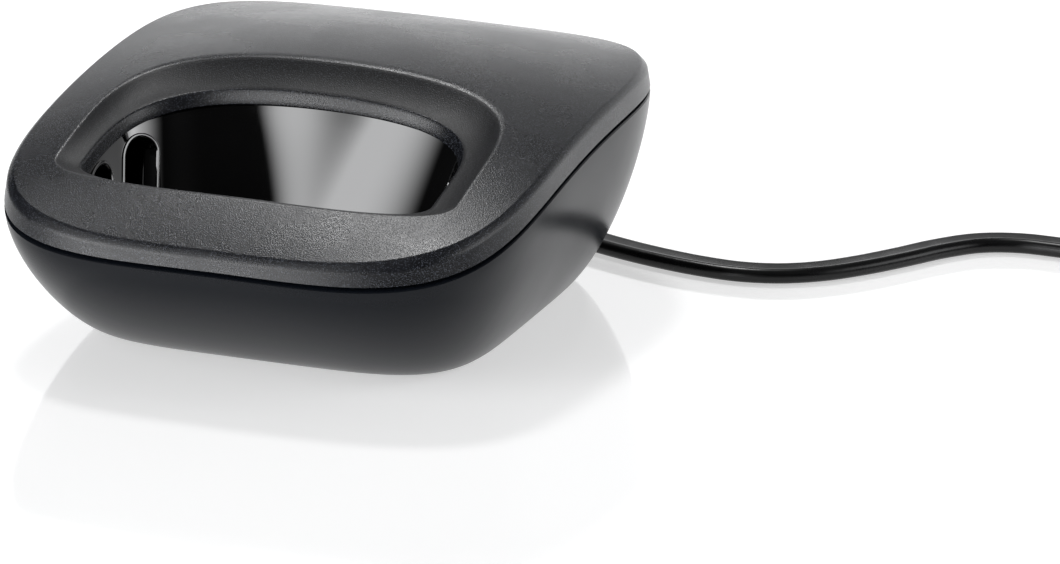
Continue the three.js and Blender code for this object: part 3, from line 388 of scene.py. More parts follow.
skirt = lambda x, y: seam_height(x, y) + SEAM_GAP / 2
rings = [ring(shrink(body_plan, inset), body_plan, 0, skirt) for inset in (1.1, SKIRT_EDGE)]
for share in (0.0, 0.35, 0.7, 1.0):
    rings.append(ring(shrink(body_plan, RIM_INSET * share), body_plan, 0,
                      lambda x, y: skirt(x, y) + SKIRT_EDGE
                      + share * (rim_height(x, y) - RIM_RADIUS - skirt(x, y) - SKIRT_EDGE)))
for inwards, up in list(rounded(RIM_RADIUS, 5))[1:]:
    rings.append(ring(shrink(body_plan, RIM_INSET + inwards), body_plan, 0,
                      lambda x, y: rim_height(x, y) - RIM_RADIUS + up
                      + (top_height(x, y) - rim_height(x, y)) * (inwards / RIM_RADIUS) ** 2))
edge = shrink(body_plan, RIM_INSET + RIM_RADIUS)
for share in (0.02, 0.05, 0.1, 0.17, 0.25, 0.34, 0.44, 0.54, 0.64, 0.74, 0.83, 0.91, 0.965, 0.99):
    rings.append(ring(edge, dish_plan, share, top_height))
dish_start = len(rings)
for share in (DISH_EDGE, 0.12, 0.3, 0.5, 0.7, 0.86, 0.96):
    hollow = share + 0.12 * math.sin(math.pi * share)
    rings.append(ring(dish_plan, pocket_plan, share,
                      lambda x, y: top_height(x, y) - hollow * dish_depth(y)))
dish_end = len(rings) - 1
lip = lambda x, y: top_height(x, y) - dish_depth(y)
lip_foot = {**pocket_plan, "half": 26.5, "rear": 22.2}
for share, dip in ((-0.18, 0.02), (0.0, 0.14), (0.2, 0.45), (0.55, 1.1), (0.93, 1.85), (0.9, LIP_HEIGHT)):
    rings.append(ring(pocket_plan, lip_foot, share, lambda x, y: lip(x, y) - dip))
rings.append(ring(shrink(pocket_plan, -1.3), pocket_plan, 0, lambda x, y: lip(x, y) - LIP_HEIGHT))
inside = shrink(body_plan, 1.25)
rings.append(ring(dish_plan, dish_plan, 0, lambda x, y: lip(x, y) - TOP_WALL))
for share in (0.7, 0.35, 0.1, 0.0):
    rings.append(ring(inside, dish_plan, share,
                      lambda x, y: top_height(x, y) - TOP_WALL - share * (dish_depth(y) - 0.2)))
top_shell = skin("grained_top_shell", rings, closed=True)
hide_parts("top_shell")
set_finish(top_shell, "grained_shell")
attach(top_shell, "cradle")
print("top shell:", len(rings), "rings,", len(top_shell.data.polygons), "faces")

# %% [markdown]
# ## Cutting and settling
# Holes and recesses are easiest to make as they are made in a mould's drawing: by taking one
# solid away from another. Blender's Boolean modifier does that, and the result is then
# written into the mesh, so that nothing is left waiting on the piece.

# %% Boolean helpers
def settle(piece):
    """Writes the piece's modifiers into its mesh."""
    seen = piece.evaluated_get(bpy.context.evaluated_depsgraph_get())
    mesh = bpy.data.meshes.new_from_object(seen)
    piece.modifiers.clear()
    piece.data = mesh
    return piece


def cut(piece, cutters):
    for cutter in cutters:
        modifier = piece.modifiers.new("cut", "BOOLEAN")
        modifier.operation, modifier.solver, modifier.object = "DIFFERENCE", "EXACT", cutter
    settle(piece)
    for cutter in cutters:
        bpy.data.objects.remove(cutter)
    smooth(piece)
    return piece


def block(name, low, high):
    corners = [(x, y, z) for z in (low[2], high[2]) for x, y in
               ((low[0], low[1]), (high[0], low[1]), (high[0], high[1]), (low[0], high[1]))]
    return skin(name, [corners[:4], corners[4:]])


def disc_ring(x, y, z, radius, sides=40):
    a = np.arange(sides) / sides * 2 * math.pi
    return np.column_stack([x + radius * np.cos(a), y + radius * np.sin(a), np.full(sides, z)])


def turned(name, x, y, profile, sides=40):
    """A piece turned about an upright line through x, y. The profile is radius and height."""
    return skin(name, [disc_ring(x, y, z, max(r, 0.01), sides) for r, z in profile])


print("helpers ready")

# %% [markdown]
# ## The bottom shell
# The wall starts at a small flat underside and flares out to the seam. A straight flare would
# look like a flower pot and a round one like a bowl; this one lies between them, which one
# exponent sets. Underneath are the pockets for four screws, four feet, the label and the plug.

# %% Bottom shell
FLOOR_Z = 0.5
BULGE = 1.49
SEAM_EDGE = 0.16
TONGUE_INSET, TONGUE_WALL, TONGUE_RISE = 1.4, 2.4, 0.55
INNER_FLOOR = 2.5
BAY_HALF, BAY_FRONT, BAY_ROOF = 8.5, 12.5, 9.3
RECESS_HALF, RECESS_FRONT, RECESS_ROOF = 7, 14, 7.8
RECESS_REAR = 46
SCREW_POCKET = (2.8, 2.4)
FOOT_SEAT = (4.5, 1.3)
LABEL_MARGIN, LABEL_SEAT = 0.5, 1.1
BELOW = -1
wall_top = lambda x, y: seam_height(x, y) - SEAM_GAP / 2


def wall_rings(low_plan, high_plan, low, steps):
    made = []
    for step in range(steps + 1):
        a = math.pi / 2 * step / steps
        reach, climb = math.sin(a) ** (2 / BULGE), 1 - math.cos(a) ** (2 / BULGE)
        made.append(ring(low_plan, high_plan, reach,
                         lambda x, y: low + (wall_top(x, y) - low) * climb))
    return made


outside = wall_rings(base_plan, body_plan, FLOOR_Z, 30)
outside[0] = ring(shrink(base_plan, 0.35), base_plan, 0, FLOOR_Z)
outside[-1] = ring(body_plan, body_plan, 0, lambda x, y: wall_top(x, y) - SEAM_EDGE)
tongue, cavity = shrink(body_plan, TONGUE_INSET), shrink(body_plan, TONGUE_WALL)
tongue_top = lambda x, y: seam_height(x, y) + TONGUE_RISE
rings = outside + [
    ring(shrink(body_plan, SEAM_EDGE), body_plan, 0, wall_top),
    ring(tongue, tongue, 0, wall_top),
    ring(tongue, tongue, 0, tongue_top),
    ring(cavity, tongue, 0, tongue_top),
] + wall_rings(shrink(base_plan, 2), cavity, INNER_FLOOR, 14)[::-1]
bottom_shell = skin("satin_bottom_shell", rings)
plug_low, plug_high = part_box("plug_housing")
plug_x = (plug_low.x + plug_high.x) / 2 / MM
bay = block("bay", (plug_x - BAY_HALF, BAY_FRONT, FLOOR_Z + 0.1),
            (plug_x + BAY_HALF, RECESS_REAR, BAY_ROOF))
hull = skin("hull", outside[1:])
for piece, tool, operation in ((bay, hull, "INTERSECT"), (bottom_shell, bay, "UNION")):
    modifier = piece.modifiers.new("join", "BOOLEAN")
    modifier.operation, modifier.solver, modifier.object = operation, "EXACT", tool
    settle(piece)
    bpy.data.objects.remove(tool)
cutters = [block("recess", (plug_x - RECESS_HALF, RECESS_FRONT, BELOW),
                 (plug_x + RECESS_HALF, RECESS_REAR, RECESS_ROOF))]
for node in nodes:
    if node.startswith(("case_screw", "rubber_foot")):
        low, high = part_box(node)
        x, y = (low.x + high.x) / 2 / MM, (low.y + high.y) / 2 / MM
        radius, top = SCREW_POCKET if node.startswith("case_screw") else FOOT_SEAT
        cutters.append(turned("pocket", x, y, [(radius, BELOW), (radius, top)]))
low, high = (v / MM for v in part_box("rating_plate"))
cutters.append(block("label_seat", (low.x - LABEL_MARGIN, low.y - LABEL_MARGIN, BELOW),
                     (high.x + LABEL_MARGIN, high.y + LABEL_MARGIN, LABEL_SEAT)))
cut(bottom_shell, cutters)
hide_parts("bottom_shell")
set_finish(bottom_shell, "satin_shell")
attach(bottom_shell, "cradle")
print("bottom shell:", len(bottom_shell.data.polygons), "faces")

# %% [markdown]
# ## The handset well
# The well is a polished black cup that leans back with the handset. Its rear wall is what the
# camera sees, and it works as a curved mirror, so its rings must flow evenly. In each end
# wall are two arch-topped windows with a fine raised rim. A rim is a thin bead, laid along
# the arch on the wall's own surface.

# %% Well
WELL_FLOOR = 12.0
WELL_WALL = 1.6
WELL_FLANGE = 3.8
LIP_CLEARANCE = 0.3
FLOOR_ROUND, WALL_SHARE = 1.3, 0.93
well_mouth = shrink(pocket_plan, -0.35)
well_foot = {**pocket_plan, "half": 23.9, "rear": 14.8, "front": 6.0,
             "square_x": (2.7, 2.6), "square_y": (2.7, 2.6)}
well_top = lambda x, y: lip(x, y) - LIP_HEIGHT - LIP_CLEARANCE
sink = lambda share: (lambda x, y: well_top(x, y) + (WELL_FLOOR - well_top(x, y)) * share)
sheath = lambda share: (
    lambda x, y: well_top(x, y) + (WELL_FLOOR - WELL_WALL - well_top(x, y)) * share)
back_mouth, back_foot = shrink(well_mouth, -WELL_WALL), shrink(well_foot, -WELL_WALL)
flange = shrink(well_mouth, -WELL_FLANGE)
rings = [ring(back_mouth, back_foot, 1, WELL_FLOOR - WELL_WALL)]
rings += [ring(back_mouth, back_foot, s, sheath(s)) for s in (0.75, 0.5, 0.25, 0.12)]
rings += [ring(flange, well_mouth, 0, height) for height in (sheath(0.1), well_top)]
rings += [ring(well_mouth, well_foot, s, sink(s)) for s in np.linspace(0, WALL_SHARE - 0.01, 16)]
for inwards, up in rounded(FLOOR_ROUND, 5):
    share = WALL_SHARE + (1 - WALL_SHARE) * up / FLOOR_ROUND
    rings.append(ring(well_mouth, shrink(well_foot, inwards), share, sink(share)))
well = skin("glossy_well", rings)


def wall_x(side, y, z):
    """Where the end wall of the well is, at a given depth into the pocket and height."""
    x = 26.0
    turns = np.linspace(-0.999, 0.999, 2001) * math.pi / 2
    for _ in range(4):
        top = float(well_top(np.array(x), np.array(y)))
        share = (top - z) / (top - WELL_FLOOR)
        ax, ay = plan_curve(well_mouth, turns)
        bx, by = plan_curve(well_foot, turns)
        x = float(np.interp(y, ay + (by - ay) * share, ax + (bx - ax) * share))
    return side * x


def arch_outline(half, low, high, steps=14):
    """Up one side of an arch, over its round top and down the other side."""
    spring = high - half
    points = [(-half, low + (spring - low) * t) for t in np.linspace(0, 1, steps)]
    points += [(-half * math.cos(a), spring + half * math.sin(a))
               for a in np.linspace(0, math.pi, 17)[1:-1]]
    return points + [(-y, z) for y, z in points[:steps][::-1]]


WINDOWS = [(5.0, -12.1), (7.2, -21.4)]
WINDOW_SILL, WINDOW_BELOW_TOP, WINDOW_LEAN = 2.5, 1.3, 8
WINDOW_CUT = (17, 33)
BEAD_HALF_WIDTH, BEAD_HALF_HEIGHT = 0.28, 0.36
SLOT_MARGIN, SLOT_FRONT, SLOT_REAR = 0.5, 2.6, 7.2
cutters, beads = [], []
for side in (-1, 1):
    for width, centre_y in WINDOWS:
        mouth = float(well_top(np.array(26.1), np.array(centre_y)))
        top = mouth - WINDOW_BELOW_TOP
        lean = WINDOW_LEAN / (mouth - WELL_FLOOR)
        arch = arch_outline(width / 2, WELL_FLOOR + WINDOW_SILL, top)
        outline = [(centre_y + y + lean * (z - top), z) for y, z in arch]
        near, far = sorted(side * x for x in WINDOW_CUT)
        cutters.append(skin("window", [[(x, y, z) for y, z in outline] for x in (near, far)]))
        line = np.array([(wall_x(side, y, z), y, z) for y, z in outline])
        bead = np.array([(BEAD_HALF_WIDTH * math.cos(a), BEAD_HALF_HEIGHT * math.sin(a))
                         for a in np.arange(10) / 10 * 2 * math.pi])
        beads.append(sweep("rim", line, np.tile((-float(side), 0, 0.0), (len(line), 1)), bead))
for side in ("left", "right"):
    low, high = (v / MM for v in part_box(f"charging_spring_{side}"))
    cutters.append(block("slot", (low.x - SLOT_MARGIN, low.y - SLOT_FRONT, WELL_FLOOR - 4),
                         (high.x + SLOT_MARGIN, low.y + SLOT_REAR, WELL_FLOOR + 2)))
cut(well, cutters)


def join(whole, parts):
    """Merges finished parts into one piece."""
    work = bmesh.new()
    for piece in [whole, *parts]:
        work.from_mesh(piece.data)
    work.to_mesh(whole.data)
    work.free()
    for piece in parts:
        bpy.data.objects.remove(piece)
    smooth(whole)
    return whole


join(well, beads)
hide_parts("handset_well")
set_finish(well, "glossy_well")
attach(well, "cradle")
print("well:", len(well.data.polygons), "faces and", len(beads), "window rims")

# %% [markdown]
# ## Light and floor
# Dark, shiny plastic shows what it mirrors, so the room round it matters more than the lamps.
# Behind the cradle the room is bright near the table, and in front it is dark. A tall soft box
# and a low one stand to the left of the front, and a third one to the right. A faint fill and
# a dim ceiling lift the top. A world shader paints all this by direction: a bearing of 0 is
# straight in front, and positive ones go to the right. To write such maths plainly, one small
# class wraps a node's socket and lets Python's operators add the Math nodes.

# %% Shader arithmetic
class Wire:
    """One output socket of a node tree. Arithmetic on it adds Math nodes."""

    def __init__(self, tree, socket):
        self.tree, self.socket = tree, socket

    def math(self, operation, *values):
        return self.tree.node("ShaderNodeMath", {"operation": operation}, dict(enumerate(values)))

    def __add__(self, other):
        return self.math("ADD", self, other)

    def __sub__(self, other):
        return self.math("SUBTRACT", self, other)

    def __rsub__(self, other):
        return self.math("SUBTRACT", other, self)

    def __mul__(self, other):
        return self.math("MULTIPLY", self, other)

    def __gt__(self, other):
        return self.math("GREATER_THAN", self, other)

    def between(self, low, high):
        """0 at low, 1 at high, eased in between. low may be the greater one."""
        inputs = {"Value": self, "From Min": low, "From Max": high}
        return self.tree.node("ShaderNodeMapRange", {"interpolation_type": "SMOOTHSTEP"}, inputs)

    __radd__, __rmul__ = __add__, __mul__


class NodeTree:
    """A node tree that is filled by one method."""

    def __init__(self, tree):
        self.tree = tree

    def node(self, kind, settings=None, inputs=None, output=0):
        made = self.tree.nodes.new(kind)
        for key, value in (settings or {}).items():
            if key == "stops":
                for spare in list(made.color_ramp.elements)[2:]:
                    made.color_ramp.elements.remove(spare)
                while len(made.color_ramp.elements) < len(value):
                    made.color_ramp.elements.new(1.0)
                for element, (position, color) in zip(made.color_ramp.elements, value):
                    element.position, element.color = position, (*color, 1)
            else:
                setattr(made, key, value)
        for key, value in (inputs or {}).items():
            if isinstance(value, Wire):
                self.tree.links.new(value.socket, made.inputs[key])
            else:
                made.inputs[key].default_value = value
        return Wire(self, made.outputs[output]) if made.outputs else made

    def mix(self, factor, first, second):
        """A colour between two colours."""
        colors = [c if isinstance(c, Wire) else (*c, 1) for c in (first, second)]
        return self.node("ShaderNodeMix", {"data_type": "RGBA"}, {0: factor, 6: colors[0], 7: colors[1]}, 2)


print("shader arithmetic ready")

# %% World
world = bpy.data.worlds.new("studio")
bpy.context.scene.world = world
world.use_nodes = True
world.node_tree.nodes.clear()
sky = NodeTree(world.node_tree)
way = sky.node("ShaderNodeTexCoord", output="Generated")
x_way, y_way, z_way = (sky.node("ShaderNodeSeparateXYZ", None, {0: way}, axis) for axis in "XYZ")
bearing = sky.node("ShaderNodeMath", {"operation": "ARCTAN2"}, {0: x_way, 1: 0 - y_way}) * (180 / math.pi)
height = sky.node("ShaderNodeMath", {"operation": "ARCSINE"}, {0: z_way}) * (180 / math.pi)


def panel(*edges):
    """A soft-edged bright patch: two bearings and two heights, each from dark to full light."""
    first, second, low, high = edges
    across = bearing.between(*first) * bearing.between(*second)
    return across * height.between(*low) * height.between(*high)


WALL_LIGHT, WALL_LOW_LIGHT, CEILING_LIGHT, ROOM_LIGHT = 0.38, 0.84, 0.12, 0.012
behind = bearing.between(86, 110).math("MAXIMUM", bearing.between(86, 110), bearing.between(-126, -156))
near_table = height.between(25, 20)
ceiling = height.between(34, 46)
wall = behind * (WALL_LIGHT + near_table * WALL_LOW_LIGHT) * (1 - ceiling)
soft_box = panel((-21.8, -25.6), (-70, -29), (4, 12), (56, 40)) * 3.8
low_box = panel((0, -14), (-64, -48), (0, 6), (22, 16)) * 5.0
side_box = panel((50, 100), (118, 104), (8, 18), (46, 34)) * 3.0
fill = panel((-160, -138), (-90, -104), (53, 64), (86, 76)) * 0.55
strength = wall + ceiling * CEILING_LIGHT + soft_box + low_box + side_box + fill + ROOM_LIGHT
background = sky.node("ShaderNodeBackground", None,
                      {"Color": (0.985, 0.99, 1.0, 1), "Strength": strength})
sky.node("ShaderNodeOutputWorld", None, {"Surface": background})
world.cycles.sampling_method = "MANUAL"
world.cycles.sample_map_resolution = 1024
print("the studio has three soft boxes, a fill, a bright wall behind and a dim ceiling")

# %% Floor
FLOOR_REACH, FLOOR_DROP = 9000, 0.05
corners = [(x * FLOOR_REACH, y * FLOOR_REACH, -FLOOR_DROP)
           for x, y in ((-1, -1), (1, -1), (1, 1), (-1, 1))]
floor = new_object("studio_floor", corners, [(0, 1, 2, 3)])


def finish_of(name, color, roughness, metallic=0.0, **fixed):
    """A material with one Principled shader. Returns the material, its tree and the shader."""
    material = bpy.data.materials.new(name)
    material.use_nodes = True
    shader = next(n for n in material.node_tree.nodes if n.type == "BSDF_PRINCIPLED")
    values = {"Base Color": (*color, 1), "Roughness": roughness, "Metallic": metallic, **fixed}
    for key, value in values.items():
        shader.inputs[key].default_value = value
    return material, NodeTree(material.node_tree), shader


floor_finish, _, shader = finish_of("white_table", (0.8, 0.8, 0.8), 0.07, **{
    "Emission Color": (1, 1, 1, 1), "Emission Strength": 0.5, "IOR": 1.5})
floor_finish.cycles.emission_sampling = "NONE"
floor.data.materials.append(floor_finish)
print("floor ready")

# %% [markdown]
# ### The lamp
# One small lamp hangs behind and above the cradle and lights its grained top. The camera
# can't see it.

# %% Key light
KEY_AT, KEY_AIM = Vector((-0.225, 0.338, 0.81)), Vector((0.0, -0.03, 0.03))
key_data = bpy.data.lights.new("key_light", "AREA")
key_data.shape, key_data.size, key_data.energy = "DISK", 0.14, 2.2
key = bpy.data.objects.new("key_light", key_data)
bpy.context.scene.collection.objects.link(key)
key.location = KEY_AT
key.rotation_mode = "QUATERNION"
key.rotation_quaternion = (KEY_AIM - KEY_AT).to_track_quat("-Z", "Y")
key.visible_camera = False
print("one small light hangs behind and above")

# %% [markdown]
# ## Fittings
# The small pieces are moulded, pressed or turned, and none of them has a knife-sharp edge. A
# softened copy keeps the model's exact shape and only rounds its edges, with Blender's Bevel
# modifier. Screws, feet and pins are turned again with more sides, and each screw gets its
# cross recess. The rubber feet have a fine ring, where they meet their moulded seat.

# %% Softened copies
fitted = []


def fit(piece, node, slot):
    """Puts a finished piece in a node's place."""
    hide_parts(node)
    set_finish(piece, slot)
    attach(piece, nodes[node]["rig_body"])
    fitted.append(piece)
    return piece


def softened(node, slot, edge, segments=3, crisp_above=50):
    """A copy of a node with its edges rounded to the given width."""
    work = bmesh.new()
    work.from_mesh(nodes[node].data)
    bmesh.ops.remove_doubles(work, verts=work.verts, dist=0.004 * MM)
    bmesh.ops.dissolve_limit(work, angle_limit=math.radians(2), verts=work.verts, edges=work.edges)
    mesh = bpy.data.meshes.new(node + "_look")
    work.to_mesh(mesh)
    work.free()
    piece = bpy.data.objects.new(node + "_look", mesh)
    bpy.context.scene.collection.objects.link(piece)
    bevel = piece.modifiers.new("edges", "BEVEL")
    bevel.width, bevel.segments, bevel.limit_method = edge * MM, segments, "ANGLE"
    bevel.angle_limit = math.radians(32)
    bevel.use_clamp_overlap = True
    settle(piece)
    smooth(piece, crisp_above)
    return fit(piece, node, slot)


for side in ("left", "right"):
    softened(f"charging_spring_{side}", "contact_metal", 0.09, 2, 60)
    softened(f"plug_contact_{side}", "contact_metal", 0.12)
softened("plug_housing", "black_plastic", 0.3)
softened("plug_latch", "black_plastic", 0.18)
softened("contact_block", "black_plastic", 0.3)
softened("power_socket", "black_plastic", 0.35)
softened("circuit_board", "board", 0.12)
softened("adapter_board", "board", 0.12)
softened("adapter_transformer", "steel", 0.5)
softened("rating_plate", "label", 0.1)
softened("adapter_rating_plate", "label", 0.1)
print(len(fitted), "softened copies")

# %% Screws and feet
CROSS_ARM, CROSS_DEPTH = (1.5, 0.32), 0.85
for node in sorted(nodes):
    low, high = (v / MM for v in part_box(node))
    x, y, base, tall = (low.x + high.x) / 2, (low.y + high.y) / 2, low.z, high.z - low.z
    if node.startswith("case_screw"):
        profile = [(0.01, 0.05), (1.2, 0.02), (2.0, 0.14), (2.38, 0.4), (2.47, 0.7), (2.47, 1.1),
                   (2.3, 1.25), (1.1, 1.5), (1.1, tall - 1.1), (0.05, tall)]
        screw = turned(node + "_look", x, y, [(r, base + z) for r, z in profile])
        arms = [block("arm", (x - a, y - b, base - 1), (x + a, y + b, base + CROSS_DEPTH))
                for a, b in (CROSS_ARM, CROSS_ARM[::-1])]
        fit(cut(screw, arms), node, "steel")
    if node.startswith("rubber_foot"):
        profile = [(0.01, 0.12), (2.9, 0.1), (3.2, 0.0), (3.75, 0.0), (4.05, 0.1), (4.2, 0.32),
                   (4.2, tall - 0.02), (3.9, tall)]
        fit(turned(node + "_look", x, y, [(r, base + z) for r, z in profile], 56), node, "rubber")
    if node == "smoothing_capacitor":
        profile = [(0.01, 0), (3.8, 0), (4.0, 0.2), (4.0, 1.5), (3.65, 1.8), (3.65, 2.0),
                   (4.0, 2.3), (4.0, tall - 0.35), (3.7, tall), (3.3, tall),
                   (3.2, tall - 0.15), (0.01, tall - 0.15)]
        fit(turned(node + "_look", x, y, [(r, base + z) for r, z in profile]), node, "can_sleeve")
print("screws, feet and capacitor turned")

# %% [markdown]
# ## The plug-in supply
# The supply is a hand-sized moulded box in two halves: a deep case with rounded corners and a
# cover that carries two round pins. Each half is a skin over rounded rectangles. The joint
# between them is a real groove, and each pin has the insulating sleeve that such pins have.

# %% Supply
def rounded_ring(x, z, half_x, half_z, corner, y, sides=12):
    """A rounded rectangle that stands across the Y direction."""
    points = []
    for k, (sx, sz) in enumerate(((1, 1), (-1, 1), (-1, -1), (1, -1))):
        for i in range(sides):
            a = math.pi / 2 * (k + i / (sides - 1))
            points.append((x + sx * (half_x - corner) + corner * math.cos(a), y,
                           z + sz * (half_z - corner) + corner * math.sin(a)))
    return np.array(points)


def tub(name, mouth_y, closed_y, x, z, half_x, half_z, wall=1.8, fillet=2.6):
    """A moulded box, open at mouth_y and rounded at its closed end."""
    way = 1 if closed_y > mouth_y else -1
    inner = (half_x - wall, half_z - wall, 3)
    rows = [(closed_y - way * wall, *inner), (mouth_y, *inner),
            (mouth_y, half_x - 0.3, half_z - 0.3, 4.7),
            (mouth_y + way * 0.1, half_x - 0.1, half_z - 0.1, 4.9),
            (mouth_y + way * 0.35, half_x, half_z, 5)]
    for step in range(9):
        a = math.pi / 2 * step / 8
        inset = fillet * (1 - math.cos(a))
        y = closed_y - way * fillet * (1 - math.sin(a))
        rows.append((y, half_x - inset, half_z - inset, max(5 - inset, 0.6)))
    return skin(name, [rounded_ring(x, z, hx, hz, corner, y) for y, hx, hz, corner in rows])


def along_y(name, x, z, profile, sides=40):
    """A piece turned about a line along Y. The profile is radius and position."""
    a = np.arange(sides) / sides * 2 * math.pi
    return skin(name, [np.column_stack([x + r * np.cos(a), np.full(sides, y), z + r * np.sin(a)])
                       for r, y in profile])


PIN_RADIUS, PIN_BARE_RADIUS, PIN_BARE_LENGTH, PIN_STEP = 2.0, 1.9, 9.0, 0.15
PIN_HOLE_RADIUS, PIN_HOLE_DEPTH = 2.25, 3.5
case_low, case_high = (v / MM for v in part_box("adapter_case"))
cover_low, cover_high = (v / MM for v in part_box("adapter_cover"))
supply_x, supply_z = (case_low.x + case_high.x) / 2, (case_low.z + case_high.z) / 2
half_x, half_z = (case_high.x - case_low.x) / 2, (case_high.z - case_low.z) / 2
case = tub("supply_case", case_low.y, case_high.y, supply_x, supply_z, half_x, half_z)
fit(case, "adapter_case", "black_plastic")
cover = tub("supply_cover", cover_high.y, cover_low.y, supply_x, supply_z, half_x, half_z)
holes = []
for side in ("left", "right"):
    low, high = (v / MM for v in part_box(f"adapter_pin_{side}"))
    x = (low.x + high.x) / 2
    holes.append(along_y("hole", x, supply_z, [(PIN_HOLE_RADIUS, cover_low.y - 1),
                                               (PIN_HOLE_RADIUS, cover_low.y + PIN_HOLE_DEPTH)]))
    profile = [(PIN_RADIUS * math.sin(a), low.y + PIN_RADIUS * (1 - math.cos(a)))
               for a in (0.05, 0.4, 0.75, 1.1, 1.4)]
    sleeve_y = low.y + PIN_BARE_LENGTH
    profile += [(PIN_BARE_RADIUS, low.y + PIN_RADIUS), (PIN_BARE_RADIUS, sleeve_y),
                (PIN_RADIUS, sleeve_y + PIN_STEP), (PIN_RADIUS, high.y)]
    fit(along_y(f"supply_pin_{side}", x, supply_z, profile), f"adapter_pin_{side}", "steel")
fit(cut(cover, holes), "adapter_cover", "black_plastic")


def ribbed_sleeve(name, node, wide, slim, ribs=4, sides=36):
    """A tapered sleeve with soft ribs. It bends with the lead instead of kinking it."""
    low, high = (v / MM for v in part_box(node))
    x, z = (low.x + high.x) / 2, (low.z + high.z) / 2
    rows = []
    for step in range(41):
        share = step / 40
        wave = math.sin(math.pi * 2 * ribs * share - math.pi / 2)
        groove = RIB_DEPTH * max(0.0, wave) ** 2 * (share > 0.06)
        rx, rz = (wide[k] + (slim[k] - wide[k]) * share - groove for k in (0, 1))
        ends = 0.25 * (max(0, 1 - share * 20) + max(0, share * 20 - 19))
        a = np.arange(sides) / sides * 2 * math.pi
        across = np.sign(np.cos(a)) * np.abs(np.cos(a)) ** 0.7
        up = np.sign(np.sin(a)) * np.abs(np.sin(a)) ** 0.7
        along = np.full(sides, low.y + (high.y - low.y) * share)
        rows.append(np.column_stack([x + (rx - ends) * across, along, z + (rz - ends) * up]))
    return fit(skin(name, rows), node, "black_plastic")


RIB_DEPTH = 0.34
ribbed_sleeve("plug_relief", "plug_strain_relief", (3.6, 1.9), (2.7, 1.55))
ribbed_sleeve("supply_relief", "adapter_strain_relief", (3.4, 4.2), (1.9, 3.0))
print("supply, pins and sleeves ready")

# %% [markdown]
# ## The tie
# A soft band holds the spare lead. It is a rounded loop with a flat section, and its free end
# lies on itself as a second layer. A sharp box would look like a clamp.

# %% Tie
tie_low, tie_high = (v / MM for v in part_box("lead_tie"))
tie_x, tie_z = (tie_low.x + tie_high.x) / 2, (tie_low.z + tie_high.z) / 2
half_wide, half_tall = (tie_high.x - tie_low.x) / 2, (tie_high.z - tie_low.z) / 2
TIE_CORNER, TIE_EDGE = 2.9, 0.25
CORNER_STEPS = 22
LOOP_STEPS = 4 * CORNER_STEPS


def band(name, inset, thick, width, first, last):
    """Part of a rounded loop, from first to last of its steps."""
    loop = lambda d: rounded_ring(
        tie_x, tie_z, half_wide - d, half_tall - d, TIE_CORNER - d, 0, CORNER_STEPS)
    outer, inner = loop(inset), loop(inset + thick)
    middle_y, side = (tie_low.y + tie_high.y) / 2, width / 2
    rows = []
    for i in range(first, last):
        out, into = outer[i % LOOP_STEPS], inner[i % LOOP_STEPS]
        soft, deep = (out + (into - out) * share for share in (0.3, 0.7))
        half = [(out, side - TIE_EDGE), (soft, side), (deep, side), (into, side - TIE_EDGE)]
        section = [(p, -y) for p, y in half] + half[::-1]
        rows.append([(p[0], middle_y + y, p[2]) for p, y in section])
    return skin(name, rows, closed=last - first == LOOP_STEPS)


tie = join(band("tie", 0.35, 0.65, 7, 0, LOOP_STEPS), [band("free_end", 0.0, 0.33, 6.6, 26, 62)])
fit(tie, "lead_tie", "rubber")
print("tie:", len(tie.data.polygons), "faces")

# %% [markdown]
# ## Finishes
# Each finish is a small recipe of noise: one pattern gives the relief and another varies the
# gloss, because no real surface is equally shiny all over. The top shell has a fine moulded
# grain with lighter flecks. Its dish gets a darker, duller copy of that grain: the darker colour
# is painted shade, which makes the dish read darker than the lamps alone make it. The lower
# shell is satin and the well is polished. Rubber, metal, ceramic, board and label follow in the same way.

# %% Recipes
def place(tree):
    return tree.node("ShaderNodeTexCoord", output="Object")


def part_of(tree, where, axis):
    return tree.node("ShaderNodeSeparateXYZ", None, {0: where}, axis)


def noise(tree, scale, detail=2.0):
    inputs = {"Vector": place(tree), "Scale": scale, "Detail": detail}
    return tree.node("ShaderNodeTexNoise", None, inputs)


def feed(shader, **wires):
    """Links wires to the shader's sockets: feed(shader, Roughness=w, Base_Color=c)."""
    for key, wire in wires.items():
        wire.tree.tree.links.new(wire.socket, shader.inputs[key.replace("_", " ")])


def relief_of(tree, shader, height, depth):
    """Bumps of a depth in millimetres."""
    inputs = {"Height": height, "Strength": 1.0, "Distance": depth * MM}
    feed(shader, Normal=tree.node("ShaderNodeBump", None, inputs))


GRAIN_SCALE = 6200
finishes = {}


def grained(name, color, fleck_color, gloss, **fixed):
    """Spark-eroded grain: fine bumps, with lighter flecks on them."""
    material, tree, shader = finish_of(name, color, gloss, **fixed)
    fleck = noise(tree, GRAIN_SCALE, 0.0).between(0.58, 0.7)
    feed(shader, Base_Color=tree.mix(fleck, color, fleck_color),
         Roughness=noise(tree, 90, 3).between(0.3, 0.7) * 0.06 + gloss)
    relief_of(tree, shader, noise(tree, GRAIN_SCALE, 1.0), 0.04)
    return material


finishes["grained_shell"] = grained(
    "grained_plastic", (0.0045, 0.005, 0.0068), (0.055, 0.060, 0.074), 0.25)
# The dish copy is darker and less shiny: painted shade for the dish, not a different plastic.
dish_painted_shade_finish = grained(
    "grained_dish_painted_shade", (0.003, 0.0032, 0.0042), (0.024, 0.026, 0.032), 0.38, **{"Specular IOR Level": 0.28})

material, tree, shader = finish_of("satin_plastic", (0.004, 0.005, 0.0075), 0.24, IOR=1.28)
feed(shader, Base_Color=tree.mix(noise(tree, 2400, 0), (0.0036, 0.0048, 0.0074), (0.005, 0.0065, 0.0096)),
     Roughness=noise(tree, 60, 3).between(0.3, 0.7) * 0.04 + 0.22)
relief_of(tree, shader, noise(tree, 3000, 1), 0.004)
finishes["satin_shell"] = material

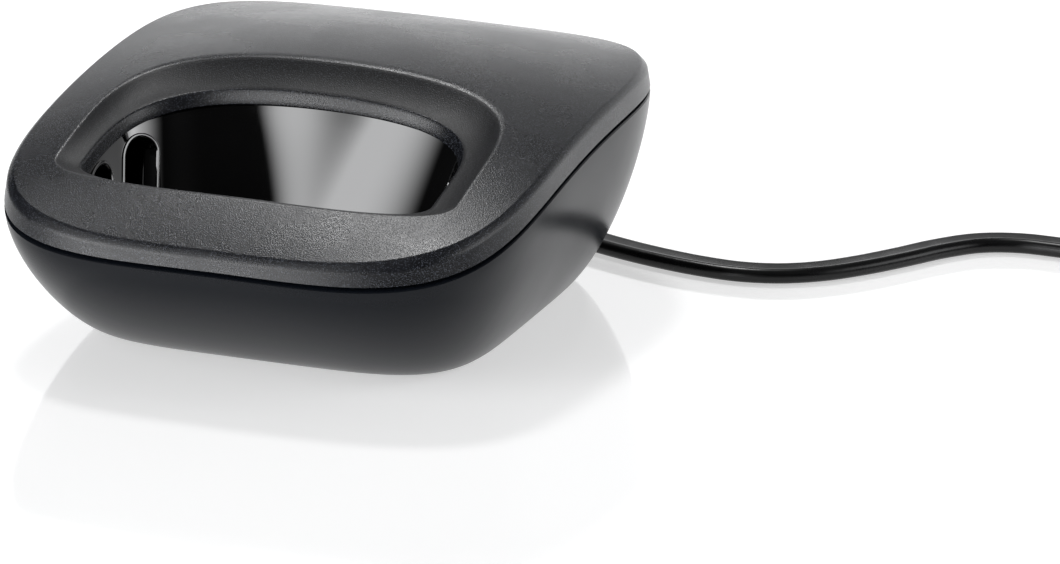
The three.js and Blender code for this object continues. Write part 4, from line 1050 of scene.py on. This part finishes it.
material, tree, shader = finish_of("polished_plastic", (0.002, 0.002, 0.002), 0.04, **{
    "Coat Weight": 1.0, "Coat Roughness": 0.02, "Coat IOR": 1.8})
feed(shader, Base_Color=tree.mix(noise(tree, 400, 2), (0.0016, 0.0016, 0.0017), (0.0026, 0.0026, 0.0028)),
     Roughness=noise(tree, 45, 4).between(0.35, 0.75) * 0.05 + 0.03)
finishes["glossy_well"] = material

material, tree, shader = finish_of("moulded_plastic", (0.011, 0.011, 0.012), 0.42)
feed(shader, Base_Color=tree.mix(noise(tree, 1200, 1), (0.009, 0.009, 0.010), (0.014, 0.014, 0.015)),
     Roughness=noise(tree, 110, 3).between(0.3, 0.7) * 0.12 + 0.36)
relief_of(tree, shader, noise(tree, 2600, 1.5), 0.03)
finishes["black_plastic"] = material

material, tree, shader = finish_of("lead_jacket", (0.0025, 0.0025, 0.0028), 0.3, IOR=1.4)
feed(shader, Base_Color=tree.mix(noise(tree, 300, 2), (0.002, 0.002, 0.0022), (0.0035, 0.0035, 0.0038)),
     Roughness=noise(tree, 180, 3).between(0.3, 0.7) * 0.1 + 0.24)
relief_of(tree, shader, noise(tree, 1500, 1), 0.012)
finishes["lead_jacket"] = material

material, tree, shader = finish_of("rubber", (0.014, 0.014, 0.014), 0.85)
feed(shader, Base_Color=tree.mix(noise(tree, 900, 3), (0.010, 0.010, 0.010), (0.022, 0.022, 0.021)),
     Roughness=noise(tree, 260, 2) * 0.15 + 0.75)
relief_of(tree, shader, noise(tree, 3200, 2), 0.05)
finishes["rubber"] = material

material, tree, shader = finish_of("circuit_board", (0.02, 0.12, 0.05), 0.35)
spot = place(tree)
x_at, y_at = (part_of(tree, spot, axis) * (1 / MM) for axis in "XY")
across = x_at.math("PINGPONG", x_at, 1.27).between(0.95, 1.0)
along = y_at.math("PINGPONG", y_at, 1.9).between(1.62, 1.68)
choice = noise(tree, 130, 0) > 0.5
tracks = across * choice + along * (1 - choice)
dots = {"Vector": spot, "Scale": 210.0, "Randomness": 0.5}
pads = tree.node("ShaderNodeTexVoronoi", {"feature": "F1"}, dots).between(0.19, 0.16)
mask_color = tree.mix(tracks, (0.012, 0.085, 0.032), (0.03, 0.17, 0.06))
feed(shader, Base_Color=tree.mix(pads, mask_color, (0.62, 0.62, 0.6)), Metallic=pads,
     Roughness=pads * 0.1 + 0.3)
relief_of(tree, shader, tracks + pads, 0.03)
finishes["board"] = material

material, tree, shader = finish_of("blank_label", (0.5, 0.5, 0.49), 0.4)
spread = tree.node("ShaderNodeTexCoord", output="Generated")
sides_of = [part_of(tree, spread, axis) for axis in "XY"]
inward = [v.math("MINIMUM", v, 1 - v) for v in sides_of]
edge_gap = inward[0].math("MINIMUM", inward[0], inward[1])
frame_line = (edge_gap > 0.05) * (1 - (edge_gap > 0.065))
foil = noise(tree, 240, 4)
feed(shader, Base_Color=tree.mix(frame_line, (0.46, 0.46, 0.455), (0.05, 0.05, 0.05)),
     Roughness=foil * 0.2 + 0.3)
relief_of(tree, shader, foil, 0.01)
finishes["label"] = material

material, tree, shader = finish_of("gold_plating", (0.83, 0.6, 0.28), 0.26, 1.0)
worn = noise(tree, 700, 3).between(0.5, 0.75)
feed(shader, Base_Color=tree.mix(worn, (0.84, 0.61, 0.28), (0.66, 0.45, 0.2)),
     Roughness=noise(tree, 1400, 3) * 0.25 + 0.14)
relief_of(tree, shader, noise(tree, 2200, 2), 0.006)
finishes["contact_metal"] = material

material, tree, shader = finish_of("plated_steel", (0.5, 0.5, 0.51), 0.3, 1.0)
dull = noise(tree, 500, 4).between(0.35, 0.7)
feed(shader, Base_Color=tree.mix(dull, (0.54, 0.54, 0.55), (0.36, 0.36, 0.37)),
     Roughness=noise(tree, 1800, 2) * 0.25 + 0.2)
relief_of(tree, shader, noise(tree, 2600, 2), 0.01)
finishes["steel"] = material

material, tree, shader = finish_of("ceramic", (0.5, 0.36, 0.2), 0.55)
rings_at = part_of(tree, place(tree), "X") * (1 / MM)
stripes = rings_at.math("PINGPONG", rings_at, 1.1).between(0.85, 0.9)
feed(shader, Base_Color=tree.mix(stripes, (0.52, 0.38, 0.21), (0.2, 0.05, 0.03)),
     Roughness=noise(tree, 600, 3) * 0.3 + 0.35)
relief_of(tree, shader, noise(tree, 1500, 3), 0.02)
finishes["ceramic"] = material

material, tree, shader = finish_of("can_sleeve", (0.02, 0.03, 0.09), 0.3)
top_at = tree.node("ShaderNodeTexCoord", output="Generated")
metal_top = part_of(tree, top_at, "Z") > 0.965
feed(shader, Base_Color=tree.mix(metal_top, (0.018, 0.026, 0.08), (0.6, 0.6, 0.6)), Metallic=metal_top,
     Roughness=noise(tree, 500, 2) * 0.2 + 0.2)
relief_of(tree, shader, noise(tree, 900, 2), 0.01)
finishes["can_sleeve"] = material

pin_finish, tree, shader = finish_of("sleeved_pin", (0.5, 0.5, 0.51), 0.3)
bare = 1 - (part_of(tree, place(tree), "Y") > (sleeve_y + PIN_STEP) * MM)
feed(shader, Base_Color=tree.mix(bare, (0.012, 0.012, 0.013), (0.56, 0.56, 0.57)), Metallic=bare,
     Roughness=noise(tree, 1500, 2) * 0.25 + 0.22)
print(len(finishes) + 1, "finishes mixed")

# %% Dress every piece
SHADED_DISH_FRONT = -31
slot_of_node = {row["node"]: row["material_slot"] for row in frame["record"]["subparts"]}
dressed = 0
for piece in [lead, top_shell, bottom_shell, well, *fitted, *nodes.values()]:
    name = piece.get("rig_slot") or slot_of_node[piece["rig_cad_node"]]
    piece.data.materials.clear()
    piece.data.materials.append(pin_finish if piece.name.startswith("supply_pin") else finishes[name])
    dressed += 1
# The dish faces behind the front limit take the darker dish copy, which is painted shade.
top_shell.data.materials.append(dish_painted_shade_finish)
for face in top_shell.data.polygons[dish_start * len(TURNS):dish_end * len(TURNS)]:
    face.material_index = 1 if face.center.y > SHADED_DISH_FRONT * MM else 0
print(dressed, "pieces and nodes dressed")

# %% [markdown]
# ## The lead's route
# The lead leaves the plug, and the supply hangs on its far end. Most of its length is wound in
# the coil. The last line only turns the lead's route into metres.

[tuple(p * MM) for p in path]
